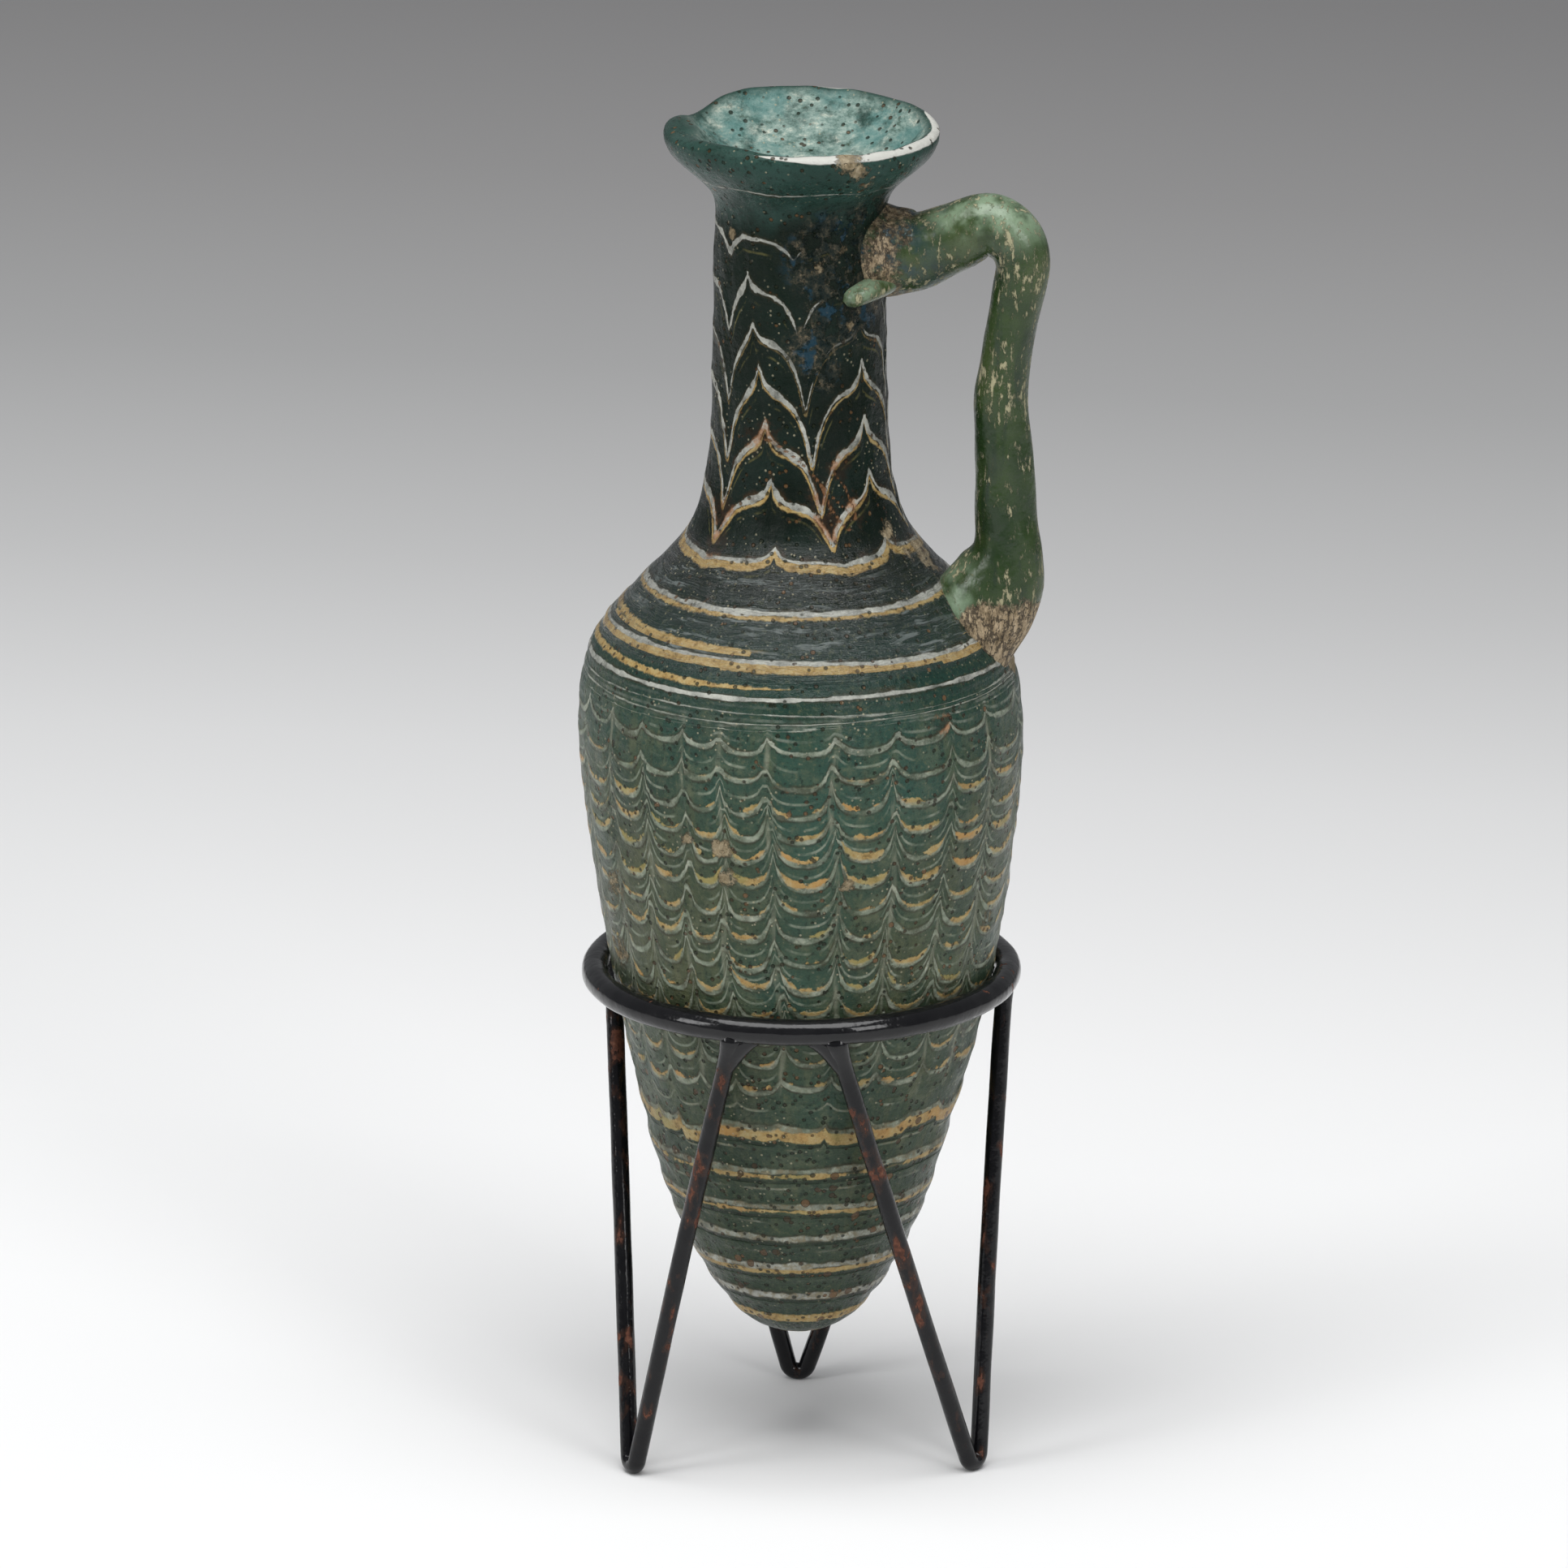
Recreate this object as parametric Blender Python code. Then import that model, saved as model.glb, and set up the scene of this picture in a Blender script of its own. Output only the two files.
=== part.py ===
"""A core-formed glass perfume bottle with one handle, standing in a wire tripod.

Metres, +Z up, and +X points at the handle. The origin is on the table, in the middle of the
outline's box, so the bottle's axis stands a little to the -X side of it. The bottle and its handle
are one solid of glass, hollow and open at the mouth. The tripod is a ring of thick wire with three
hairpin legs of thinner wire brazed under it.
"""

import math

import bmesh
import bpy
from mathutils import Vector

MM = 0.001

# Bottle. Heights are above its tip, each stage on top of the one before, and radii are from its axis.
BELLY_RADIUS = 24.95 * MM
BELLY_HEIGHT = 72.0 * MM
SHOULDER_RISE = 29.0 * MM
NECK_RADIUS = 9.6 * MM
NECK_LENGTH = 31.7 * MM
MOUTH_RISE = 8.1 * MM
NECK_FOOT_HEIGHT = BELLY_HEIGHT + SHOULDER_RISE
NECK_TOP_HEIGHT = NECK_FOOT_HEIGHT + NECK_LENGTH
BOTTLE_HEIGHT = NECK_TOP_HEIGHT + MOUTH_RISE
NECK_BOW = 0.35 * MM
TIP_LEAN = 0.3 * MM
MOUTH_TILT = math.radians(2.4)
MOUTH_HIGH_ANGLE = math.radians(143)
RIM_RADIUS = 15.25 * MM
RIM_EDGE_RADIUS = 0.9 * MM
RIM_THICKNESS = 1.7 * MM
FUNNEL_DEPTH = 5.4 * MM
BORE_RADIUS = 5.5 * MM
BODY_WALL = 3.2 * MM
BASE_WALL = 5.0 * MM

# The rim's folded lip, on the side away from the handle, and the notch beside it.
LIP_ANGLE = math.radians(-162)
LIP_SPREAD = math.radians(27)
LIP_DROP = 0.8 * MM
LIP_FOLD = 2.6 * MM
NOTCH_ANGLE = math.radians(156)
NOTCH_SPREAD = math.radians(18)
NOTCH_DROP = 1.7 * MM

# Handle. It reaches out past the belly, and its reach is from the bottle's axis.
HANDLE_OVERHANG = 2.95 * MM
HANDLE_REACH = BELLY_RADIUS + HANDLE_OVERHANG
HANDLE_RADIUS = 3.0 * MM
HANDLE_TOP_DROP = 2.1 * MM
HANDLE_FOOT_RISE = 12.0 * MM
HANDLE_TOP_HEIGHT = NECK_TOP_HEIGHT - HANDLE_TOP_DROP
HANDLE_FOOT_HEIGHT = BELLY_HEIGHT + HANDLE_FOOT_RISE
HANDLE_ROOT_DEPTH = 2.4 * MM

# The tail of the handle's trail. It stands out from the neck by a share of its own radius.
TAIL_RADIUS = 1.5 * MM
TAIL_END_ANGLE = math.radians(-40)
TAIL_DROP = 3.0 * MM
TAIL_STAND_OUT = 0.15
TAIL_SWELL = 1.25
TAIL_TAPER = 0.5
TAIL_TIP = 0.55

# Stand. The feet stand inside the ring's centreline by the inset.
TIP_CLEARANCE = 13.6 * MM
RING_HEIGHT = 56.8 * MM
RING_WIRE = 3.0 * MM
LEG_WIRE = 2.0 * MM
FOOT_INSET = 1.94 * MM
BEND_CORE = 0.15 * MM
FOOT_BEND = LEG_WIRE / 2 + BEND_CORE
FOOT_WEAR = 0.15 * MM
BRAZE_LENGTH = 3.5 * MM
BRAZE_SWELL = 1.45
GAP = 0.3 * MM

# Each leg's name, and the angles of its foot and of its two ends under the ring, in degrees from +X.
LEGS = (
    ("stand_leg_left", -141, -191, -97),
    ("stand_leg_right", -12, -69, 19),
    ("stand_leg_back", 103, 50, 142),
)

# Outlines, as shares of the sizes above: (radius, height) of the belly, then of the way from the
# belly to the neck's foot, then of the way from the neck's top to the rim.
BODY_SHAPE = ((0.19, 0.018), (0.39, 0.096), (0.58, 0.228), (0.720, 0.395), (0.858, 0.60), (0.965, 0.853))
SHOULDER_SHAPE = ((0.12, 0.341), (0.49, 0.566), (0.858, 0.772))
NECK_SHAPE = (0.35, 0.8)
MOUTH_SHAPE = ((0.37, 0.33), (0.88, 0.66))
FUNNEL_SHAPE = ((0.16, 0.18), (0.5, 0.52), (0.8, 0.8), (1.0, 1.0))
NECK_FOOT_FLARE = 0.6 * MM
BASE_SPREAD = 0.1
BOW_SKEW = 0.66

# The handle's centreline and thickness: (share of the way from the neck to its furthest, share of
# the way from its foot to its top, thickness in handle radii, sideways thickness in handle radii).
# Past its foot it tapers on into the wall.
HANDLE_SHAPE = (
    (0.03, 0.922, 1.66, 1.75),
    (0.236, 0.925, 1.46, 1.34),
    (0.447, 0.963, 1.28, 1.22),
    (0.786, 1.0, 1.14, 1.12),
    (0.92, 0.970, 1.08, 1.08),
    (1.0, 0.912, 1.02, 1.05),
    (0.927, 0.762, 0.92, 0.98),
    (0.847, 0.579, 0.98, 1.0),
    (0.870, 0.442, 1.07, 1.06),
    (0.890, 0.281, 1.16, 1.14),
    (0.900, 0.202, 1.32, 1.24),
    (0.855, 0.142, 1.70, 1.34),
    (0.745, 0.073, 1.85, 1.38),
    (0.600, 0.0, 1.85, 1.25),
)
HANDLE_TAPER = 0.8

# Facets.
BOTTLE_SIDES = 44
HANDLE_SIDES = 14
RING_SIDES = 60
WIRE_SIDES = 10
LEG_SIDES = 8
OUTLINE_STEPS = 2
FINE_STEPS = 12
HANDLE_STEPS = 2
TAIL_STEPS = 8
BEND_STEPS = 8
NORMAL_CREASE = math.radians(40)

GLASS_COLOUR = (0.035, 0.085, 0.07, 1.0)
BLACK_PAINT_COLOUR = (0.012, 0.012, 0.013, 1.0)


def smooth_curve(points, steps):
    """Points along a centripetal Catmull-Rom curve through the given ones, which may have any size."""
    points = [Vector(p) for p in points]
    before = points[0] * 2 - points[1]
    after = points[-1] * 2 - points[-2]
    padded = [before, *points, after]
    curve = []
    for i in range(len(points) - 1):
        a, b, c, d = padded[i : i + 4]
        t1 = math.sqrt((b - a).length)
        t2 = t1 + math.sqrt((c - b).length)
        t3 = t2 + math.sqrt((d - c).length)
        for k in range(steps):
            t = t1 + (t2 - t1) * k / steps
            ab = a.lerp(b, t / t1)
            bc = b.lerp(c, (t - t1) / (t2 - t1))
            cd = c.lerp(d, (t - t2) / (t3 - t2))
            abc = ab.lerp(bc, t / t2)
            bcd = bc.lerp(cd, (t - t1) / (t3 - t1))
            curve.append(abc.lerp(bcd, (t - t1) / (t2 - t1)))
    return [*curve, points[-1]]


def smooth_step(value):
    value = min(1.0, max(0.0, value))
    return value * value * (3 - 2 * value)


def outer_stations():
    """The outline's main points as (radius, height), from the tip to just under the rim's edge."""
    foot_radius = NECK_RADIUS + NECK_FOOT_FLARE
    stations = [(0.0, 0.0)]
    stations += [(r * BELLY_RADIUS, h * BELLY_HEIGHT) for r, h in BODY_SHAPE]
    stations.append((BELLY_RADIUS, BELLY_HEIGHT))
    for inwards, upwards in SHOULDER_SHAPE:
        radius = BELLY_RADIUS + (foot_radius - BELLY_RADIUS) * inwards
        height = BELLY_HEIGHT + SHOULDER_RISE * upwards
        stations.append((radius, height))
    stations.append((foot_radius, NECK_FOOT_HEIGHT))
    stations += [(NECK_RADIUS, NECK_FOOT_HEIGHT + NECK_LENGTH * upwards) for upwards in NECK_SHAPE]
    stations.append((NECK_RADIUS, NECK_TOP_HEIGHT))
    for outwards, upwards in MOUTH_SHAPE:
        radius = NECK_RADIUS + (RIM_RADIUS - NECK_RADIUS) * outwards
        stations.append((radius, NECK_TOP_HEIGHT + MOUTH_RISE * upwards))
    stations.append((RIM_RADIUS, BOTTLE_HEIGHT - RIM_EDGE_RADIUS))
    return stations


OUTER_CURVE = smooth_curve(outer_stations(), OUTLINE_STEPS)
FINE_CURVE = smooth_curve(outer_stations(), FINE_STEPS)


def outer_radius(height):
    """The bottle's outer radius at a height above its tip."""
    for low, high in zip(FINE_CURVE, FINE_CURVE[1:]):
        if low.y <= height <= high.y:
            share = (height - low.y) / max(high.y - low.y, 1e-9)
            return low.x + (high.x - low.x) * share
    return FINE_CURVE[-1].x


def wall_at(height):
    """The wall's thickness: thick at the base, thin in the body, and down to the bore in the neck."""
    neck_wall = NECK_RADIUS - BORE_RADIUS
    base = (BASE_WALL - BODY_WALL) * math.exp(-height / (BASE_SPREAD * BELLY_HEIGHT))
    shoulder = (height - BELLY_HEIGHT) / SHOULDER_RISE
    return BODY_WALL + base + (neck_wall - BODY_WALL) * smooth_step(shoulder)


def outer_outline():
    """The outline from the tip, over the rim's round edge, to the middle of the closed top."""
    outline = list(OUTER_CURVE)
    centre = Vector((RIM_RADIUS - RIM_EDGE_RADIUS, BOTTLE_HEIGHT - RIM_EDGE_RADIUS))
    for degrees in (45, 90):
        angle = math.radians(degrees)
        outline.append(centre + RIM_EDGE_RADIUS * Vector((math.cos(angle), math.sin(angle))))
    outline.append(Vector((0.0, BOTTLE_HEIGHT)))
    return outline


def cavity_outline():
    """The hollow's outline from its floor, up the bore and the mouth's funnel, to above the rim."""
    funnel_foot = BOTTLE_HEIGHT - FUNNEL_DEPTH
    outline = [Vector((0.0, wall_at(0.0)))]
    for before, point, after in zip(OUTER_CURVE, OUTER_CURVE[1:], OUTER_CURVE[2:]):
        along = (after - before).normalized()
        inner = point + Vector((-along.y, along.x)) * wall_at(point.y)
        inner.x = max(inner.x, BORE_RADIUS) if point.y > BELLY_HEIGHT else inner.x
        if inner.x > 0 and inner.y > outline[-1].y and point.y < NECK_FOOT_HEIGHT:
            outline.append(inner)
    outline.append(Vector((BORE_RADIUS, NECK_FOOT_HEIGHT)))
    outline.append(Vector((BORE_RADIUS, funnel_foot)))
    edge_radius = RIM_RADIUS - RIM_THICKNESS
    for outwards, upwards in FUNNEL_SHAPE:
        radius = BORE_RADIUS + (edge_radius - BORE_RADIUS) * outwards
        outline.append(Vector((radius, funnel_foot + FUNNEL_DEPTH * upwards)))
    above = BOTTLE_HEIGHT + RIM_EDGE_RADIUS
    outline.append(Vector((edge_radius, above)))
    outline.append(Vector((0.0, above)))
    return outline


def mouth_share(height):
    """0 on the neck and 1 at the rim."""
    return smooth_step((height - NECK_TOP_HEIGHT) / MOUTH_RISE)


def bump(angle, middle, spread):
    """A round bump about the axis, 1 at its middle."""
    turn = math.remainder(angle - middle, 2 * math.pi)
    return math.exp(-((turn / spread) ** 2))


def axis_shift(height):
    """The hand-made neck bows a little away from the handle, and so does the tip under the ring."""
    seat = RING_HEIGHT - TIP_CLEARANCE
    if height < seat:
        return -TIP_LEAN * smooth_step(2 * (1 - height / seat))
    share = (height - BELLY_HEIGHT) / (BOTTLE_HEIGHT - BELLY_HEIGHT)
    share = min(1.0, max(0.0, share))
    return -NECK_BOW * math.sin(math.pi * share**BOW_SKEW) ** 2


def placed(radius, height, angle, fold):
    """The point of the bottle at an angle, with the mouth's tilt and the lip's folding put on."""
    mouth = mouth_share(height)
    outwards = min(1.0, radius / RIM_RADIUS)
    lip = bump(angle, LIP_ANGLE, LIP_SPREAD)
    drop = LIP_DROP * lip + NOTCH_DROP * bump(angle, NOTCH_ANGLE, NOTCH_SPREAD)
    tilt = math.tan(MOUTH_TILT) * math.cos(angle - MOUTH_HIGH_ANGLE)
    rise = mouth * (radius * tilt - outwards * drop)
    radius -= mouth * outwards * fold * lip
    x = axis_shift(height) + radius * math.cos(angle)
    return Vector((x, radius * math.sin(angle), height + rise))


def finish_mesh(name, bm, material):
    """An object of the mesh, shaded smooth, with its faces pointing out."""
    bmesh.ops.recalc_face_normals(bm, faces=bm.faces)
    mesh = bpy.data.meshes.new(name)
    bm.to_mesh(mesh)
    bm.free()
    mesh.shade_smooth()
    mesh.set_sharp_from_angle(angle=NORMAL_CREASE)
    mesh.materials.append(material)
    obj = bpy.data.objects.new(name, mesh)
    bpy.context.scene.collection.objects.link(obj)
    return obj


def bridge(bm, rings):
    """Quads between each ring of vertices and the next."""
    for low, high in zip(rings, rings[1:]):
        count = len(low)
        for i in range(count):
            j = (i + 1) % count
            bm.faces.new((low[i], low[j], high[j], high[i]))


def revolve(name, outline, fold, material):
    """A closed solid turned from an outline that starts and ends on the axis."""
    bm = bmesh.new()
    rings = []
    for point in outline[1:-1]:
        angles = [2 * math.pi * i / BOTTLE_SIDES for i in range(BOTTLE_SIDES)]
        rings.append([bm.verts.new(placed(point.x, point.y, a, fold)) for a in angles])
    bridge(bm, rings)
    ends = ((outline[0], rings[0]), (outline[-1], rings[-1]))
    for point, ring in ends:
        pole = bm.verts.new(placed(0.0, point.y, 0.0, 0.0))
        for i, vertex in enumerate(ring):
            bm.faces.new((vertex, ring[(i + 1) % BOTTLE_SIDES], pole))
    return finish_mesh(name, bm, material)


def sweep(bm, path, sizes, side, sides):
    """A closed tube of oval rings along a flat path. Side is the normal of the path's plane."""
    rings = []
    for i, point in enumerate(path):
        along = (path[min(i + 1, len(path) - 1)] - path[max(i - 1, 0)]).normalized()
        across = along.cross(side).normalized()
        ring = []
        for k in range(sides):
            angle = 2 * math.pi * k / sides
            offset = across * sizes[i][0] * math.cos(angle) + side * sizes[i][1] * math.sin(angle)
            ring.append(bm.verts.new(point + offset))
        rings.append(ring)
    bridge(bm, rings)
    bm.faces.new(rings[0])
    bm.faces.new(rings[-1])
    return rings


def handle_path():
    """The handle's centreline from inside the neck's wall to inside the shoulder, with its sizes."""
    outermost = max(HANDLE_SHAPE)
    furthest = HANDLE_REACH - outermost[2] * HANDLE_RADIUS
    rise = HANDLE_TOP_HEIGHT - HANDLE_FOOT_HEIGHT
    stations = []
    for outwards, upwards, thick, wide in HANDLE_SHAPE:
        x = NECK_RADIUS + (furthest - NECK_RADIUS) * outwards
        z = HANDLE_FOOT_HEIGHT + rise * upwards
        stations.append((x, z, thick * HANDLE_RADIUS, wide * HANDLE_RADIUS))
    x, z, thick, wide = stations[0]
    stations.insert(0, (NECK_RADIUS - HANDLE_ROOT_DEPTH, z, thick, wide))
    x, z, thick, wide = stations[-1]
    inner_foot = outer_radius(HANDLE_FOOT_HEIGHT) - BODY_WALL
    foot_size = (thick * HANDLE_TAPER, wide * HANDLE_TAPER)
    stations.append((min(x, inner_foot), z - BODY_WALL, *foot_size))
    curve = smooth_curve(stations, HANDLE_STEPS)
    return [Vector((p[0], 0.0, p[1])) for p in curve], [(p[2], p[3]) for p in curve]


def build_handle(material):
    bm = bmesh.new()
    path, sizes = handle_path()
    sweep(bm, path, sizes, Vector((0.0, 1.0, 0.0)), HANDLE_SIDES)
    return finish_mesh("handle_shape", bm, material)


def build_handle_tail(material):
    """The trail's pressed-down tail, which lies round the front of the neck under the handle's root."""
    root = HANDLE_SHAPE[0]
    height = HANDLE_FOOT_HEIGHT + (HANDLE_TOP_HEIGHT - HANDLE_FOOT_HEIGHT) * root[1] - TAIL_DROP
    path = []
    sizes = []
    for i in range(TAIL_STEPS + 1):
        share = i / TAIL_STEPS
        angle = TAIL_END_ANGLE * share
        radius = outer_radius(height) + TAIL_STAND_OUT * TAIL_RADIUS
        x = axis_shift(height) + radius * math.cos(angle)
        path.append(Vector((x, radius * math.sin(angle), height)))
        size = TAIL_RADIUS * (TAIL_SWELL - TAIL_TAPER * share)
        if i == TAIL_STEPS:
            size *= TAIL_TIP
        sizes.append((size, size))
    bm = bmesh.new()
    sweep(bm, path, sizes, Vector((0.0, 0.0, 1.0)), HANDLE_SIDES)
    return finish_mesh("handle_tail_shape", bm, material)


def helper(obj):
    """Marks an object that only shapes another."""
    obj.hide_render = True
    obj.display_type = "WIRE"


def combine(obj, other, operation):
    modifier = obj.modifiers.new(other.name, "BOOLEAN")
    modifier.operation = operation
    modifier.object = other
    helper(other)


def build_bottle(axis, material):
    bottle = revolve("bottle", outer_outline(), 0.0, material)
    handle = build_handle(material)
    tail = build_handle_tail(material)
    cavity = revolve("cavity_shape", cavity_outline(), LIP_FOLD, material)
    combine(bottle, handle, "UNION")
    combine(bottle, tail, "UNION")
    combine(bottle, cavity, "DIFFERENCE")
    for obj in (bottle, handle, tail, cavity):
        obj.location.z = TIP_CLEARANCE
        obj.parent = axis


def ring_radius():
    """The ring's centreline radius: its wire lies just clear of the bottle's wall."""
    height = RING_HEIGHT - TIP_CLEARANCE
    reach = RING_WIRE / 2
    slope = (outer_radius(height + reach) - outer_radius(height - reach)) / (2 * reach)
    return outer_radius(height) + (RING_WIRE / 2 + GAP) * math.sqrt(1 + slope * slope)


def build_ring(axis, material):
    bpy.ops.mesh.primitive_torus_add(
        major_radius=ring_radius(),
        minor_radius=RING_WIRE / 2,
        major_segments=RING_SIDES,
        minor_segments=WIRE_SIDES,
    )
    ring = bpy.context.object
    ring.name = "stand_ring"
    ring.data.name = "stand_ring"
    ring.data.shade_smooth()
    ring.data.materials.append(material)
    ring.location.z = RING_HEIGHT
    ring.parent = axis


def polar(radius, degrees, height):
    angle = math.radians(degrees)
    return Vector((radius * math.cos(angle), radius * math.sin(angle), height))


def tangent_point(end, centre, side):
    """Where a straight wire from its end meets the foot's bend, which runs on clockwise about side."""
    away = end - centre
    share = FOOT_BEND / away.length
    return centre + away * share**2 + side.cross(away) * share * math.sqrt(1 - share**2)


def hairpin_path(first, centre, last, side):
    """Straight down to the foot, round its bend, and straight up again."""
    start = tangent_point(first, centre, side)
    stop = tangent_point(last, centre, -side)
    middle = ((centre - first).normalized() + (centre - last).normalized()).normalized()
    bend = []
    for i in range(BEND_STEPS + 1):
        share = abs(2 * i / BEND_STEPS - 1)
        arm_end = start if 2 * i < BEND_STEPS else stop
        direction = middle.slerp((arm_end - centre).normalized(), share)
        bend.append(centre + direction.normalized() * FOOT_BEND)
    swell_start = first + (start - first).normalized() * BRAZE_LENGTH
    swell_stop = last + (stop - last).normalized() * BRAZE_LENGTH
    return [first, swell_start, *bend, swell_stop, last]


def foot_flat(bm):
    """Cuts the foot off flat on the table."""
    cut = bmesh.ops.bisect_plane(
        bm,
        geom=[*bm.verts, *bm.edges, *bm.faces],
        plane_co=(0.0, 0.0, 0.0),
        plane_no=(0.0, 0.0, -1.0),
        clear_outer=True,
    )
    edges = [e for e in cut["geom_cut"] if isinstance(e, bmesh.types.BMEdge)]
    bmesh.ops.contextual_create(bm, geom=edges)


def build_leg(axis, name, foot_angle, first_angle, last_angle, material):
    radius = ring_radius()
    top = RING_HEIGHT - RING_WIRE / 2 - GAP
    first = polar(radius, first_angle, top)
    last = polar(radius, last_angle, top)
    # The bend lies in the leaning plane of the two ends and its own centre.
    centre = polar(radius - FOOT_INSET, foot_angle, FOOT_BEND)
    side = (last - centre).cross(first - centre).normalized()
    centre.z = LEG_WIRE / 2 - FOOT_WEAR + FOOT_BEND * math.hypot(side.x, side.y)
    path = hairpin_path(first, centre, last, side)
    sizes = [(LEG_WIRE / 2, LEG_WIRE / 2)] * len(path)
    swollen = LEG_WIRE / 2 * BRAZE_SWELL
    sizes[0] = sizes[-1] = (swollen, swollen)
    bm = bmesh.new()
    rings = sweep(bm, path, sizes, side, LEG_SIDES)
    for end, toward in ((0, path[0] - path[1]), (-1, path[-1] - path[-2])):
        for vertex in rings[end]:
            vertex.co += toward * ((top - vertex.co.z) / toward.z)
    foot_flat(bm)
    leg = finish_mesh(name, bm, material)
    leg.parent = axis


def principled(name, colour, roughness, metallic):
    material = bpy.data.materials.new(name)
    material.use_nodes = True
    shader = material.node_tree.nodes["Principled BSDF"]
    shader.inputs["Base Color"].default_value = colour
    shader.inputs["Roughness"].default_value = roughness
    shader.inputs["Metallic"].default_value = metallic
    return material


def main():
    for obj in list(bpy.data.objects):
        bpy.data.objects.remove(obj)
    glass = principled("weathered_glass", GLASS_COLOUR, 0.3, 0.0)
    paint = principled("black_paint", BLACK_PAINT_COLOUR, 0.35, 0.0)

    # The outline's box runs from the belly or the ring on one side to the handle on the other.
    back_reach = max(BELLY_RADIUS, ring_radius() + RING_WIRE / 2)
    axis = bpy.data.objects.new("bottle_axis", None)
    axis.location.x = (back_reach - HANDLE_REACH) / 2
    bpy.context.scene.collection.objects.link(axis)

    build_bottle(axis, glass)
    build_ring(axis, paint)
    for name, foot_angle, first_angle, last_angle in LEGS:
        build_leg(axis, name, foot_angle, first_angle, last_angle, paint)


main()
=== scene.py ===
"""The looks of a core-formed glass bottle in its black wire tripod.

Everything is in metres in the model's own frame. The functions think in millimetres and degrees,
and a place on the bottle is given by its height and by its turn: the angle round the bottle from
the side that the camera sees, positive to the camera's right.
"""

import math

import bpy
import numpy as np
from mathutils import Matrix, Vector
from mathutils.bvhtree import BVHTree


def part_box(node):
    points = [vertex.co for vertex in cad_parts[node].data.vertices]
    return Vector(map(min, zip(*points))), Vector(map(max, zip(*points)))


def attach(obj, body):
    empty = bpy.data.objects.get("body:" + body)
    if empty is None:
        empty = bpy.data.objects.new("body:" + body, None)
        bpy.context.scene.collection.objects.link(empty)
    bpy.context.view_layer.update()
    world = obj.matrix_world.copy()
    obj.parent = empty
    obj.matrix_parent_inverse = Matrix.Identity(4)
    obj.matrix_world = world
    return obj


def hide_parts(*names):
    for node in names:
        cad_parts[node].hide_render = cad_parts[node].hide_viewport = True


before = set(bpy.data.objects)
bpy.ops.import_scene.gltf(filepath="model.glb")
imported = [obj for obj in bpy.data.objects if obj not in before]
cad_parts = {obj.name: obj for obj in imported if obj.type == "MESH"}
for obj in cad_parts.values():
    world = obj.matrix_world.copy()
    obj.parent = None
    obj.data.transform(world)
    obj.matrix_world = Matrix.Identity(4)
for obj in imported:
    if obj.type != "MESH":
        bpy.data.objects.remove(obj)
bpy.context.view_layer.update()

MM = 0.001
BODY = "root"

# Places taken from the frame, in mm.
RING_BOX = [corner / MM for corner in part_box("stand_ring")]
AXIS_X = (RING_BOX[0].x + RING_BOX[1].x) / 2
RING_Z = (RING_BOX[0].z + RING_BOX[1].z) / 2
RING_WIRE = 3.0
RING_RADIUS = (RING_BOX[1].x - RING_BOX[0].x - RING_WIRE) / 2
TIP_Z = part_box("bottle")[0].z / MM

# Camera. Its azimuth is the turn of the model's front from the photograph's.
AZIMUTH = 12.0
ELEVATION = 17.0
CAMERA_DISTANCE = 1300.0
TARGET_ACROSS = -1.95
TARGET_HEIGHT = 78.46
SENSOR = 36.0
FOCAL_PIXELS = 14300
PHOTO_PIXELS = 1932

# Mouth, in mm and degrees from +X, as the solid has it.
MOUTH_FOOT = 146.3
MOUTH_TOP = 154.4
MOUTH_TILT = 2.4
MOUTH_HIGH = 143.0
RIM_RADIUS = 15.25
RIM_HALF = 0.9
BORE_RADIUS = 5.5
FUNNEL_FOOT = 149.0
LIP_ANGLE, LIP_SPREAD, LIP_DROP = -162.0, 27.0, 0.8
NOTCH_ANGLE, NOTCH_SPREAD, NOTCH_DROP = 156.0, 18.0, 1.7

# Mesh sizes of the glass.
SIDES = 288
INNER_SIDES = 96
OUTER_ROWS = 288

# Wall of the glass, its extra in the neck, and the height above which the bore is straight.
WALL = 3.2
NECK_WALL_EXTRA = 0.9
BORE_FOOT = 116

# Comb lines, of the body by their turns and of the neck as (turn at NECK_MIDDLE, drift per mm).
BODY_COMB_SEEN = (-59.0, -45.5, -31.6, -20.2, -6.9, 9.6, 24.2, 41.0, 56.0, 78.4)
BODY_COMB_HIDDEN = 13
NECK_UP = ((-100, -0.1), (-29, -0.85), (46, -0.45), (116, -0.3), (187, -0.2))
NECK_DOWN = ((-54, -0.1), (8, -0.8), (82, -0.3), (151, -0.2), (222, -0.1))
NECK_MIDDLE = 127.0


def wrap(degrees):
    """An angle between -180 and 180, of a number or an array."""
    return (np.asarray(degrees) + 180.0) % 360.0 - 180.0


def smooth(value, low, high):
    """0 below low, 1 above high and an even ease between."""
    t = np.clip((np.asarray(value, float) - low) / (high - low), 0, 1)
    return t * t * (3 - 2 * t)


def bump(angle, middle, spread):
    return np.exp(-((wrap(angle - middle) / spread) ** 2))


def ripples(turn, height, seed, count, waves, length):
    """Gentle noise between about -1 and 1 that closes round the bottle."""
    rng = np.random.default_rng(seed)
    total = np.zeros(np.broadcast(turn, height).shape)
    for _ in range(count):
        k = rng.integers(0, waves + 1)
        m = rng.uniform(-1, 1) * 2 * math.pi / length
        total += np.cos(np.radians(turn) * k + height * m + rng.uniform(0, 2 * math.pi))
    return total / math.sqrt(count)


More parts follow.
